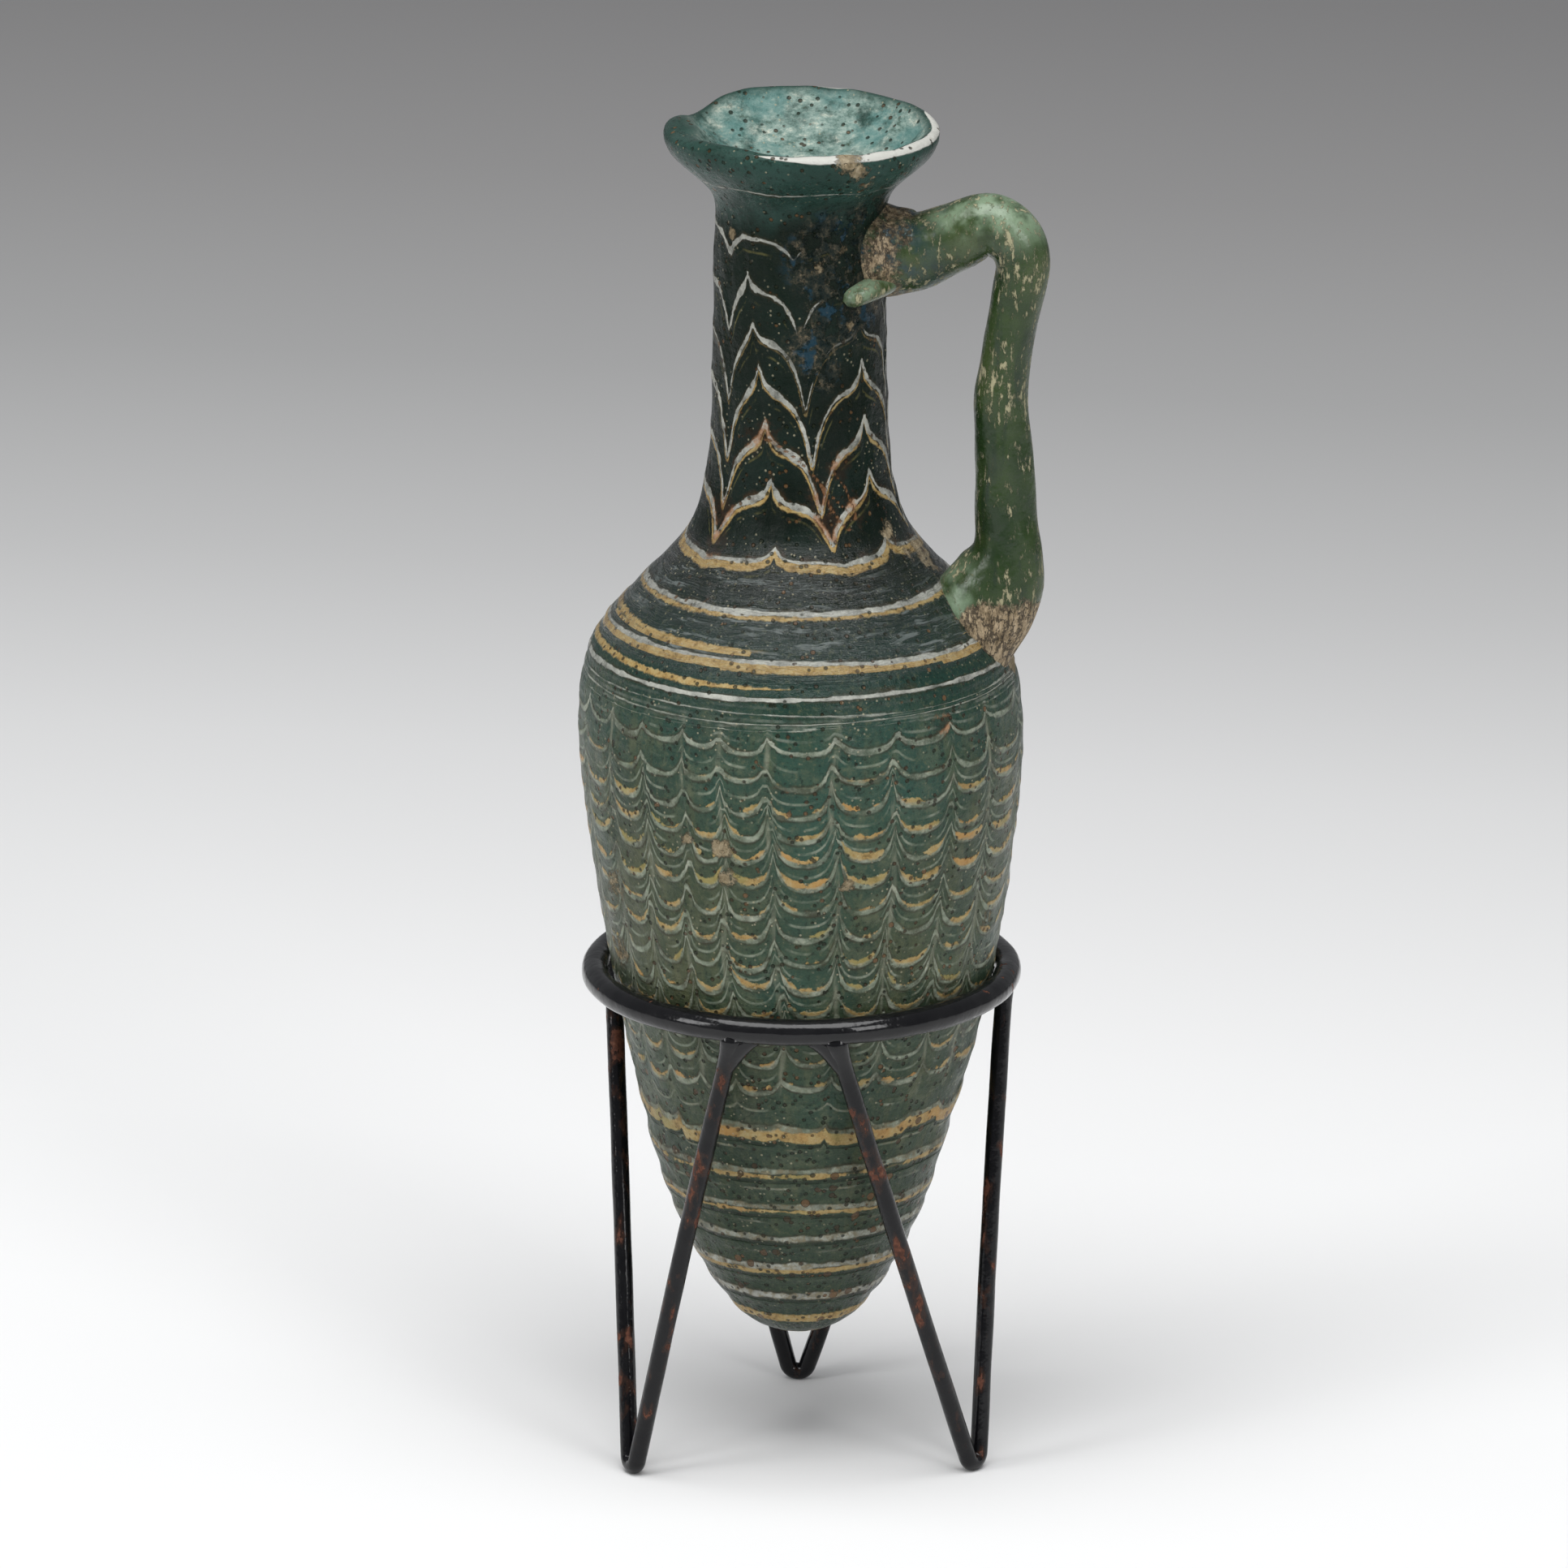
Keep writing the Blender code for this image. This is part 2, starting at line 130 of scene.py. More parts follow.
def catmull(points, steps):
    """A smooth centripetal curve through points of any dimension."""
    points = [np.asarray(p, float) for p in points]
    padded = [2 * points[0] - points[1], *points, 2 * points[-1] - points[-2]]
    curve = []
    for a, b, c, d in zip(padded, padded[1:], padded[2:], padded[3:]):
        t1 = math.sqrt(np.linalg.norm(b - a))
        t2 = t1 + math.sqrt(np.linalg.norm(c - b))
        t3 = t2 + math.sqrt(np.linalg.norm(d - c))
        for t in np.linspace(t1, t2, steps, endpoint=False):
            ab = a + (b - a) * t / t1
            bc = b + (c - b) * (t - t1) / (t2 - t1)
            cd = c + (d - c) * (t - t2) / (t3 - t2)
            abc = ab + (bc - ab) * t / t2
            bcd = bc + (cd - bc) * (t - t1) / (t3 - t1)
            curve.append(abc + (bcd - abc) * (t - t1) / (t2 - t1))
    return np.array([*curve, points[-1]])


def turn_to_angle(turn):
    """From turn, which starts at the camera's side, to the angle from +X."""
    return np.asarray(turn) - 90.0 + AZIMUTH


def soften(values, width):
    """Averages a list with its neighbours, so that the solid's facets don't show."""
    reach = 3 * width
    weights = np.exp(-0.5 * (np.arange(-reach, reach + 1) / width) ** 2)
    padded = np.pad(values, reach, mode="reflect", reflect_type="odd")
    return np.convolve(padded, weights / weights.sum(), mode="valid")


def measure_solid():
    """Height, outer radius and sideways shift of the bottle's solid, by rays towards its axis."""
    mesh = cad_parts["bottle"].data
    vertices = [v.co.copy() for v in mesh.vertices]
    tree = BVHTree.FromPolygons(vertices, [p.vertices[:] for p in mesh.polygons])

    def radius(height, angle):
        way = Vector((math.cos(angle), math.sin(angle), 0.0))
        start = Vector((AXIS_X, 0.0, height)) * MM + way * 0.06
        hit = tree.ray_cast(start, -way)[0]
        return (hit - Vector((AXIS_X, 0.0, height)) * MM).dot(way) / MM

    heights = np.arange(TIP_Z + 0.15, MOUTH_TOP - RIM_HALF - 0.4, 0.25)
    front = np.array([radius(z, -math.pi / 2) for z in heights])
    back = np.array([radius(z, math.pi) for z in heights])
    shift = np.where(heights < MOUTH_FOOT - 1, front - back, 0.0)
    return heights, soften(front, 3), soften(shift, 6)


HEIGHTS, RADII, SHIFTS = measure_solid()


def outer_radius(height):
    return np.interp(height, HEIGHTS, RADII)


def outer_profile():
    """Evenly spaced points (radius, height) from the tip to the rim's widest place."""
    start = np.array([[0.0, TIP_Z], [RADII[0] * 0.55, TIP_Z + 0.03]])
    widest = np.array([[RIM_RADIUS, MOUTH_TOP - RIM_HALF]])
    points = np.vstack([start, np.column_stack([RADII, HEIGHTS]), widest])
    length = np.concatenate([[0], np.cumsum(np.linalg.norm(np.diff(points, axis=0), axis=1))])
    places = np.linspace(0, length[-1], OUTER_ROWS + 1)
    return np.column_stack([np.interp(places, length, points[:, i]) for i in (0, 1)])


# The wound trails, from the top down. On the neck: (height of the level stretch, how far the comb
# drew it up, and down, half width of the white glass, and of the yellow).
NECK_TRAILS = (
    (149.3, 0.0, 0.0, 0.1, 0.0), (143.6, 0.5, 2.4, 0.38, 0.0), (137.7, 2.3, 6.0, 0.38, 0.0),
    (132.0, 2.5, 8.4, 0.4, 0.06), (126.2, 3.4, 9.0, 0.4, 0.1), (120.0, 3.2, 8.0, 0.4, 0.16),
    (113.8, 3.0, 4.8, 0.4, 0.2), (107.7, 1.5, 0.5, 0.23, 0.4),
)
# On the shoulder and on the base: (height, waviness, white, yellow).
SHOULDER_TRAILS = (
    (102.8, 0.5, 0.27, 0.17), (99.6, 0.3, 0.0, 0.3), (98.3, 0.9, 0.24, 0.46), (95.9, 0.5, 0.0, 0.3),
    (94.9, 0.7, 0.26, 0.0), (93.4, 0.4, 0.075, 0.0), (92.6, 0.4, 0.1, 0.0), (91.8, 0.4, 0.06, 0.0),
)
BASE_TRAILS = (
    (38.3, 0.3, 0.36, 0.33), (33.6, 0.3, 0.34, 0.28), (29.5, 0.3, 0.36, 0.0), (25.5, 0.3, 0.36, 0.34),
    (21.3, 0.2, 0.36, 0.0), (17.7, 0.1, 0.0, 0.5), (14.7, 0.0, 0.0, 0.2),
)
# The body's festoons: (height, depth, share of yellow), all as wide in white.
FESTOONS = (
    (89.3, 1.7, 0.0), (85.6, 2.4, 0.1), (82.3, 3.1, 0.42), (79.1, 3.6, 0.36), (76.4, 3.8, 0.5),
    (73.3, 3.9, 0.5), (70.1, 4.0, 0.3), (66.9, 4.0, 0.36), (63.7, 4.0, 0.36), (60.5, 4.0, 0.4),
    (57.5, 3.9, 0.3), (54.6, 3.7, 0.3), (51.7, 3.2, 0.25), (48.4, 2.2, 0.5),
)
FESTOON_WHITE = 0.29
FESTOON_YELLOW = 0.95
# The turns between which a trail's white or yellow is there, by its height, where it isn't all round.
EVERY_TURN = (-400, 400)
WHITE_TURNS = {149.3: (-75, 60)}
YELLOW_TURNS = {99.6: (-150, -8), 95.9: (-110, 2)}


def trails():
    """The trails as dicts, from the top down, with "above" where the yellow lies on the white."""
    rows = [dict(kind="neck", z=z, up=up, down=down, white=w, yellow=y) for z, up, down, w, y in NECK_TRAILS]
    rows += [dict(kind="plain", z=z, wave=wave, white=w, yellow=y) for z, wave, w, y in SHOULDER_TRAILS]
    for z, swag, share in FESTOONS:
        yellow = FESTOON_YELLOW * share
        rows.append(dict(kind="swag", z=z, swag=swag, white=FESTOON_WHITE, yellow=yellow, above=True))
    rows.append(dict(kind="swag", z=43.6, swag=0.7, white=0.33, yellow=0.68))
    rows += [dict(kind="plain", z=z, wave=wave, white=w, yellow=y) for z, wave, w, y in BASE_TRAILS]
    for row in rows:
        row.setdefault("above", False)
        row["seen"] = WHITE_TURNS.get(row["z"], EVERY_TURN)
        row["gold"] = YELLOW_TURNS.get(row["z"], EVERY_TURN)
    return rows


def body_comb():
    """All the comb lines of the body, in ascending turns, first one repeated a full turn on."""
    first, last = BODY_COMB_SEEN[0], BODY_COMB_SEEN[-1]
    step = (first + 360 - last) / (BODY_COMB_HIDDEN + 1)
    rng = np.random.default_rng(3)
    hidden = [last + step * (i + 1) + rng.uniform(-2, 2) for i in range(BODY_COMB_HIDDEN)]
    return np.array([*BODY_COMB_SEEN, *hidden, first + 360])


BODY_COMB = body_comb()


def comb_place(turn, height):
    """The share of the way between comb lines, from 0 at one to 1 at the next, and their spacing.

    The comb strayed a little from its upright lines.
    """
    strayed = turn + 1.3 * ripples(turn, height, 17, 9, 7, 20)
    t = (strayed - BODY_COMB[0]) % 360 + BODY_COMB[0]
    k = np.clip(np.searchsorted(BODY_COMB, t, side="right") - 1, 0, len(BODY_COMB) - 2)
    width = BODY_COMB[k + 1] - BODY_COMB[k]
    return (t - BODY_COMB[k]) / width, width, k


def neck_drag(turn, height, up, down):
    """How far a neck trail is drawn up or down at a turn."""
    lift = np.zeros_like(turn)
    for middle, drift in NECK_UP:
        away = np.abs(wrap(turn - middle - drift * (height - NECK_MIDDLE)))
        lift += up * np.exp(-away / 4.5)
    for middle, drift in NECK_DOWN:
        away = np.abs(wrap(turn - middle - drift * (height - NECK_MIDDLE)))
        lift -= down * np.exp(-np.sqrt(away**2 + 0.6) / 7.5)
    return lift


def trail_heights(turn, rows):
    """Each trail's height at each turn: an array of trails by turns."""
    rng = np.random.default_rng(11)
    cells = len(BODY_COMB)
    lines = []
    for k, row in enumerate(rows):
        z = row["z"]
        if row["kind"] == "neck":
            line = z + neck_drag(turn, z, row["up"], row["down"])
            line += 0.12 * ripples(turn, 0 * turn, 40 + k, 6, 9, 10)
        elif row["kind"] == "plain":
            line = z + row["wave"] * 0.6 * ripples(turn, 0 * turn, 60 + k, 5, 3, 10)
        else:
            # Each swag hangs a little deeper or shallower than its neighbours, and leans.
            share, _, cell = comb_place(turn, z)
            u = np.abs(2 * share - 1)
            scallop = 0.35 * u**2 + 0.65 * u**6
            sag = rng.normal(0, 0.26, cells)[cell]
            lean = rng.normal(0, 0.4, cells)[cell]
            depth = row["swag"] * (1 + rng.normal(0, 0.16, cells)[cell])
            line = z + depth * scallop + (sag + lean * (share - 0.5)) * (1 - u**4)
            line += 0.3 * ripples(turn, 0 * turn, 80, 4, 3, 10)
        lines.append(line)
    lines = np.array(lines)
    # Trails never cross: each stays under the one above it.
    for k in range(1, len(lines)):
        lines[k] = np.minimum(lines[k], lines[k - 1] - 0.35)
    return lines


def trail_fields(turn, height, radius):
    """For each place, the trail count from the top, and the gap, widths and yellow's drop in mm.

    turn has the columns' turns, and height and radius the rows'. All results are rows by columns.
    """
    rows = trails()
    lines = trail_heights(turn, rows)
    count = np.zeros((len(height), len(turn)))
    falling = lines[::-1]
    for j in range(len(turn)):
        count[:, j] = len(rows) - 1 - np.interp(height, falling[:, j], np.arange(len(rows)))
    # Past the first and last trails the count runs on, so that nothing repeats there.
    over = height[:, None] - lines[0][None, :]
    under = lines[-1][None, :] - height[:, None]
    count = np.where(over > 0, -np.minimum(over / 8, 0.49), count)
    count = np.where(under > 0, len(rows) - 1 + np.minimum(under / 8, 0.49), count)
    nearest = np.clip(np.rint(count).astype(int), 0, len(rows) - 1)
    slope_at = np.gradient(lines, axis=1) / np.gradient(np.radians(turn))[None, :]
    columns = np.broadcast_to(np.arange(len(turn)), count.shape)
    below = np.clip(nearest + 1, 0, len(rows) - 1)
    above = np.clip(nearest - 1, 0, len(rows) - 1)
    down_gap = lines[nearest, columns] - lines[below, columns]
    up_gap = lines[above, columns] - lines[nearest, columns]
    gap = np.where(count > nearest, down_gap, up_gap)
    gap = np.where(gap < 1e-6, 8.0, gap)
    slope = slope_at[nearest, columns] / np.maximum(radius[:, None], 2.0)
    # A drawn-out trail gets thinner, though not as thin as it is steep.
    gap = gap / (1 + slope**2) ** 0.24
    keys = ("white", "yellow", "seen", "gold", "above")
    white, yellow, seen, gold, on_top = (np.array([row[key] for row in rows])[nearest] for key in keys)
    t = np.broadcast_to(turn, count.shape)
    white = white * smooth(t, seen[..., 0] - 2, seen[..., 0] + 2)
    white = white * (1 - smooth(t, seen[..., 1] - 2, seen[..., 1] + 2))
    yellow = yellow * smooth(t, gold[..., 0] - 5, gold[..., 0] + 5)
    yellow = yellow * (1 - smooth(t, gold[..., 1] - 30, gold[..., 1] + 6))
    # On the festoons the yellow lies in the swags' bellies, on top of the white.
    share, _, _ = comb_place(t, height[:, None])
    belly = 1 - smooth(np.abs(2 * share - 1), 0.45, 0.9)
    yellow = np.where(on_top, yellow * belly, yellow)
    drop = np.where(white > 0.05, white + yellow * 0.85, 0.0)
    drop = np.where(on_top, -0.1 - yellow * 0.8, drop)
    faded = spots(turn[None, :], height[:, None], radius[:, None], FADED)
    white = white * (1 - np.clip(faded, 0, 1))
    return dict(trail=count, gap=gap, white=white, yellow=yellow, drop=drop)


# Crusts and stains on the glass: (turn, height, spread in mm, strength).
FADED = (
    (20, 141.5, 4.2, 1.6), (38, 137.0, 5.0, 1.6), (8, 131.5, 2.6, 1.4), (14, 128.5, 2.0, 1.3),
    (52, 142.0, 5.0, 1.6),
)
TEALS = (
    (8, 80, 9, 0.9), (26, 84, 7, 0.9), (-3, 61, 7, 0.7), (2, 70, 6, 0.5), (-20, 84, 5, 0.5),
    (10, 49, 6, 0.5),
)
OLIVES = (
    (-38, 62, 8, 0.9), (-52, 57, 7, 0.8), (33, 64, 7, 0.7), (50, 60, 7, 0.7), (-48, 76, 5, 0.7),
    (-18, 70, 5, 0.5), (20, 58, 5, 0.6), (-12, 54, 5, 0.5),
)
# Mottled grey patches near both side edges of the body: partly grey weathering, partly a painted reflection
# of the edges' sheen.
GREYS_AND_EDGE_SHEEN = (
    (-76, 82, 8, 0.9), (-72, 66, 9, 0.9), (-62, 50, 7, 0.7), (74, 78, 6, 0.6), (64, 70, 6, 0.6),
    (-66, 92, 4, 0.5),
)
CRUSTS = (
    (-54, 143.3, 0.9, 0.9), (10, 140.6, 1.2, 0.6), (30, 142.2, 1.5, 0.5), (48, 137.0, 1.6, 0.6),
    (35, 133.6, 0.8, 0.75), (58, 109.4, 1.7, 0.75), (66, 107.0, 1.5, 0.6), (74, 103.0, 2.2, 0.45),
    (19, 153.7, 1.5, 0.9), (24, 152.6, 1.6, 0.75), (30, 151.0, 1.6, 0.55), (-31, 78.5, 1.1, 0.8),
    (-21, 78.0, 1.6, 0.85), (-20, 74.5, 1.3, 0.8), (12, 73.8, 1.2, 0.8), (-10, 88.0, 1.2, 0.5),
    (-62, 70.0, 3.4, 0.6), (-66, 62.0, 3.4, 0.6), (-55, 57.0, 2.8, 0.5), (46, 60.0, 3.0, 0.45),
    (63, 66.0, 3.0, 0.5), (-8, 27.0, 1.6, 0.5), (74, 99.0, 4.0, 1.0), (84, 95.0, 3.4, 1.0),
    (79, 106.0, 3.0, 0.7),
)
RUSTS = (
    (-30, 120.8, 1.5, 0.9), (-22, 121.3, 1.4, 0.9), (-53, 112.0, 1.6, 0.9), (-50, 109.0, 1.3, 1.0),
    (13, 114.5, 1.6, 0.8), (18, 111.5, 1.5, 1.0), (28, 117.5, 1.3, 0.9), (38, 113.0, 1.5, 0.9),
    (-40, 104.5, 1.2, 0.5), (-5, 85.0, 1.0, 0.5), (14, 86.5, 1.0, 0.5), (40, 91.0, 1.2, 0.8),
)
RUST_REACH = 1.7
STAINS = {
    "rust": [(turn, height, RUST_REACH * size, strength) for turn, height, size, strength in RUSTS],
    "teal": TEALS,
    "olive": OLIVES,
    "grey": GREYS_AND_EDGE_SHEEN,
    "faded": FADED,
}
# A distance in mm that counts as far from a crack or a line.
FAR = 9.0

# The crack across the neck's foot, as points (turn, height).
CRACKS = (
    ((-26, 121.2), (-14, 120.3), (-2, 119.0), (8, 117.3), (17, 115.3), (27, 113.4), (36, 111.6)),
    ((14, 116.0), (20, 113.2), (28, 110.9), (34, 110.4)),
    ((22, 117.4), (31, 115.2), (36, 112.3)),
)


def spots(turn, height, radius, places):
    """The strength of soft spots on the surface, at most about 1."""
    total = np.zeros(np.broadcast(turn, height).shape)
    for middle, z, spread, strength in places:
        across = np.radians(wrap(turn - middle)) * radius
        total = np.maximum(total, strength * np.exp(-(across**2 + (height - z) ** 2) / spread**2))
    return total


def crack_distance(turn, height, radius):
    """The distance in mm to the nearest crack."""
    best = np.full(np.broadcast(turn, height).shape, FAR)
    for points in CRACKS:
        for (t0, z0), (t1, z1) in zip(points, points[1:]):
            ax = np.radians(wrap(turn - t0)) * radius
            bx = np.radians(t1 - t0) * radius
            az, bz = height - z0, z1 - z0
            share = np.clip((ax * bx + az * bz) / np.maximum(bx**2 + bz**2, 1e-6), 0, 1)
            best = np.minimum(best, np.hypot(ax - share * bx, az - share * bz))
    return best


def glass_relief(turn, height, fields):
    """How far the glass stands out from the smooth outline, in mm."""
    count, gap = fields["trail"], fields["gap"]
    off = (count - np.rint(count)) * gap
    width = np.maximum(fields["white"], 0.12)
    ridge = np.exp(-((off / (width + 0.25)) ** 2)) * smooth(fields["white"], 0.15, 0.4)
    yellow_off = off - fields["drop"]
    gold = np.exp(-((yellow_off / (fields["yellow"] + 0.3)) ** 2)) * smooth(fields["yellow"], 0.2, 0.5)
    relief = 0.1 * ridge + 0.07 * gold
    # The base's windings stand as ribs, and the shoulder's less so.
    phase = np.cos(2 * math.pi * (count - 0.25))
    relief += 0.09 * phase * (1 - smooth(height, 42, 50)) * smooth(height, 15, 18)
    relief += 0.05 * phase * smooth(height, 88, 94) * (1 - smooth(height, 103, 106))
    # The comb's strokes left shallow flutes between its lines.
    share, _, _ = comb_place(turn, height)
    flute = np.exp(-((np.minimum(share, 1 - share) / 0.1) ** 2))
    relief -= 0.09 * flute * smooth(height, 44, 52) * (1 - smooth(height, 86, 92))
    groove = np.zeros_like(relief)
    for middle, drift in NECK_UP + NECK_DOWN:
        away = np.abs(wrap(turn - middle - drift * (height - NECK_MIDDLE)))
        groove += np.exp(-((away / 4.0) ** 2))
    relief -= 0.12 * groove * smooth(height, 108, 112) * (1 - smooth(height, 142, 145))
    # The hand-made body isn't quite round or even.
    relief += 0.13 * ripples(turn, height, 5, 10, 4, 45)
    relief += 0.05 * ripples(turn, height, 6, 30, 18, 9)
    relief += 0.025 * ripples(turn, height, 7, 60, 60, 3.2)
    return relief


def mouth_move(angle, radius, height):
    """The rise of a mouth's point at an angle from +X."""
    share = smooth(height, MOUTH_FOOT, MOUTH_TOP)
    outwards = np.minimum(1.0, radius / RIM_RADIUS)
    drop = LIP_DROP * bump(angle, LIP_ANGLE, LIP_SPREAD) + NOTCH_DROP * bump(angle, NOTCH_ANGLE, NOTCH_SPREAD)
    high = np.cos(np.radians(angle - MOUTH_HIGH)) - math.cos(math.radians(-90 - MOUTH_HIGH))
    tilt = radius * math.tan(math.radians(MOUTH_TILT)) * high
    return share * (tilt - outwards * drop)


def rim_section(lip):
    """Points (radius, height) from the rim's widest place over its edge and down the funnel."""
    half, tall = RIM_HALF + 1.2 * lip, RIM_HALF + 0.25 * lip
    centre = np.array([RIM_RADIUS - half, MOUTH_TOP - RIM_HALF])
    edge = [math.radians(degrees) for degrees in range(18, 163, 18)]
    points = [centre + (half * math.cos(a), tall * math.sin(a)) for a in edge]
    foot = np.array([BORE_RADIUS, FUNNEL_FOOT])
    top = points[-1]
    for share in np.linspace(0, 1, 17)[1:]:
        way = top + (foot - top) * share
        way[1] -= 1.0 * math.sin(math.pi * share) * (1 - 0.4 * lip)
        points.append(way)
    return np.array(points)


def grid_faces(rows, columns, offset=0):
    """Quads of a closed grid of vertices numbered row by row."""
    i, j = np.meshgrid(np.arange(rows - 1), np.arange(columns), indexing="ij")
    k = (j + 1) % columns
    quads = np.stack([i * columns + j, i * columns + k, (i + 1) * columns + k, (i + 1) * columns + j], -1)
    return quads.reshape(-1, 4) + offset


def new_piece(name, vertices, faces, material, node):
    """A smooth mesh from vertices in mm that stands for a node of the frame."""
    mesh = bpy.data.meshes.new(name)
    mesh.from_pydata(np.asarray(vertices) * MM, [], [tuple(int(v) for v in f) for f in faces])
    mesh.update()
    mesh.shade_smooth()
    mesh.materials.append(material)
    obj = bpy.data.objects.new(name, mesh)
    bpy.context.scene.collection.objects.link(obj)
    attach(obj, BODY)
    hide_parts(node)
    return obj


def add_field(mesh, name, values):
    attribute = mesh.attributes.new(name, "FLOAT", "POINT")
    attribute.data.foreach_set("value", np.asarray(values, np.float32).ravel())


def build_vessel(material):
    """The bottle's outside, rim, funnel and inside as one closed skin."""
    profile = outer_profile()[1:]
    turn = np.arange(SIDES) * 360.0 / SIDES - 180.0
    angle = turn_to_angle(turn)
    radius, height = profile[:, 0], profile[:, 1]
    fields = trail_fields(turn, height, radius)
    turns, heights = np.meshgrid(turn, height)
    radii = np.broadcast_to(radius[:, None], turns.shape)
    relief = glass_relief(turns, heights, fields) * smooth(heights, TIP_Z, TIP_Z + 3)
    relief *= 1 - 0.6 * smooth(heights, 150, 153)
    crust = spots(turns, heights, radii, CRUSTS)
    relief += 0.22 * crust * (1 + 0.5 * ripples(turns, heights, 9, 40, 90, 2.0))
    slope_r, slope_z = np.gradient(radius), np.gradient(height)
    norm = np.hypot(slope_r, slope_z)
    out_r = radii + relief * (slope_z / norm)[:, None]
    out_z = heights - relief * (slope_r / norm)[:, None]
    rise = mouth_move(angle[None, :], out_r, out_z)
    shift = np.interp(out_z, HEIGHTS, SHIFTS)
    cos, sin = np.cos(np.radians(angle)), np.sin(np.radians(angle))
    shell = np.stack([AXIS_X + shift + out_r * cos, out_r * sin, out_z + rise], -1)

    # The rim and the funnel, whose section changes round the folded lip.
    lips = bump(angle, LIP_ANGLE, LIP_SPREAD)
    sections = np.array([rim_section(lip) for lip in lips])
    rim_r, rim_z = sections[..., 0].T, sections[..., 1].T
    wobble = 0.16 * ripples(turn[None, :], rim_z, 21, 8, 7, 14)
    wobble += 0.09 * ripples(turn[None, :], rim_z, 22, 30, 26, 4)
    wobble[:6] *= np.linspace(0, 1, 6)[:, None]
    rim_z = rim_z + wobble
    rise = mouth_move(angle[None, :], rim_r, rim_z)
    rim = np.stack([AXIS_X + rim_r * cos, rim_r * sin, rim_z + rise], -1)

    # The bore and the inside, with fewer sides.
    step = SIDES // INNER_SIDES
    inner_angle = np.radians(angle[::step])
    inner = []
    neck = np.linspace(FUNNEL_FOOT - 1, BORE_FOOT, 14)
    for z in np.concatenate([neck, np.linspace(BORE_FOOT - 3, TIP_Z + 6, 40)]):
        inside = outer_radius(z) - WALL
        if z > 100:
            inside = max(BORE_RADIUS, inside - NECK_WALL_EXTRA * (1 - smooth(z, BORE_FOOT - 4, BORE_FOOT)))
        if z >= BORE_FOOT:
            inside = BORE_RADIUS
        inner.append((max(inside, 0.6), z))
    inner = np.array(inner)
    inner_shift = np.interp(inner[:, 1], HEIGHTS, SHIFTS)[:, None]
    inside = np.stack(
        [
            AXIS_X + inner_shift + inner[:, :1] * np.cos(inner_angle),
            inner[:, :1] * np.sin(inner_angle),
            np.broadcast_to(inner[:, 1:], (len(inner), INNER_SIDES)),
        ],
        -1,
    )

    outer_rows = len(shell) + len(rim)
    vertices = np.concatenate([shell.reshape(-1, 3), rim.reshape(-1, 3), inside.reshape(-1, 3)])
    tip = np.array([[AXIS_X + SHIFTS[0], 0.0, TIP_Z]])
    floor = np.array([[AXIS_X + SHIFTS[0], 0.0, TIP_Z + 5.0]])
    vertices = np.concatenate([vertices, tip, floor])
    faces = [tuple(f) for f in grid_faces(outer_rows, SIDES)]
    start = outer_rows * SIDES
    faces += [tuple(f) for f in grid_faces(len(inside), INNER_SIDES, start)]
    last_outer = (outer_rows - 1) * SIDES
    for j in range(INNER_SIDES):
        k = (j + 1) % INNER_SIDES
        edge = [last_outer + (j * step + i) % SIDES for i in range(step + 1)]
        faces.append((*edge, start + k, start + j))
    tip_index = len(vertices) - 2
    end = start + (len(inside) - 1) * INNER_SIDES
    faces += [(tip_index, (j + 1) % SIDES, j) for j in range(SIDES)]
    faces += [(end + j, end + (j + 1) % INNER_SIDES, tip_index + 1) for j in range(INNER_SIDES)]

    obj = new_piece("bottle_glass", vertices, faces, material, "bottle")
    on_shell, on_rim = len(shell) * SIDES, outer_rows * SIDES

    def fill(shell_values, rim_values, rest):
        """A field's values on the shell, on the rim and on the rest."""
        values = np.full(len(vertices), rest, float)
        values[:on_shell] = np.ravel(shell_values)
        values[on_shell:on_rim] = np.ravel(rim_values)
        return values

    def spread(values, rest):
        return fill(values, np.tile(values[-1], len(rim)), rest)

    for name, values in fields.items():
        add_field(obj.data, name, spread(values, 9.0 if name == "gap" else 0.0))
    add_field(obj.data, "crust", spread(crust, 0.0))
    for name, places in STAINS.items():
        add_field(obj.data, name, spread(np.minimum(spots(turns, heights, radii, places), 1), 0.0))
    add_field(obj.data, "crack", fill(crack_distance(turns, heights, radii), FAR, FAR))
    share, width, _ = comb_place(turns, heights)
    comb = np.minimum(share, 1 - share) * np.radians(width) * radii
    add_field(obj.data, "comb", spread(comb, FAR))
    # The rim's own white trail, as a distance from its line in mm, and the frosted funnel.
    there = smooth(turn, -38, 8) * (1 - smooth(turn, 108, 118))
    there = there + smooth(turn, 150, 158) * (1 - smooth(turn, 172, 178))
    rows = np.arange(len(rim))[:, None]
    along = np.abs((rows + 0.5) * 0.3 - 0.75)
    shell_along = (np.arange(len(shell))[::-1][:, None] + 0.3) * 0.45 + 0.75
    add_field(obj.data, "edge", fill(shell_along + (1 - there), along + (1 - there), FAR))
    frost = smooth(rows, 4, 9) * (1 - 0.5 * lips)
    add_field(obj.data, "frost", fill(0.0, frost, 1.0))


class Value:
    """The output of a graph's node, which takes part in arithmetic by way of Math nodes."""

    def __init__(self, graph, socket):
        self.graph = graph
        self.socket = socket

    def __add__(self, other):
        return self.graph.math("ADD", self, other)

    def __sub__(self, other):
        return self.graph.math("SUBTRACT", self, other)

    def __rsub__(self, other):
        return self.graph.math("SUBTRACT", other, self)

    def __mul__(self, other):
        return self.graph.math("MULTIPLY", self, other)

    def __truediv__(self, other):
        return self.graph.math("DIVIDE", self, other)

    def __abs__(self):
        return self.graph.math("ABSOLUTE", self)


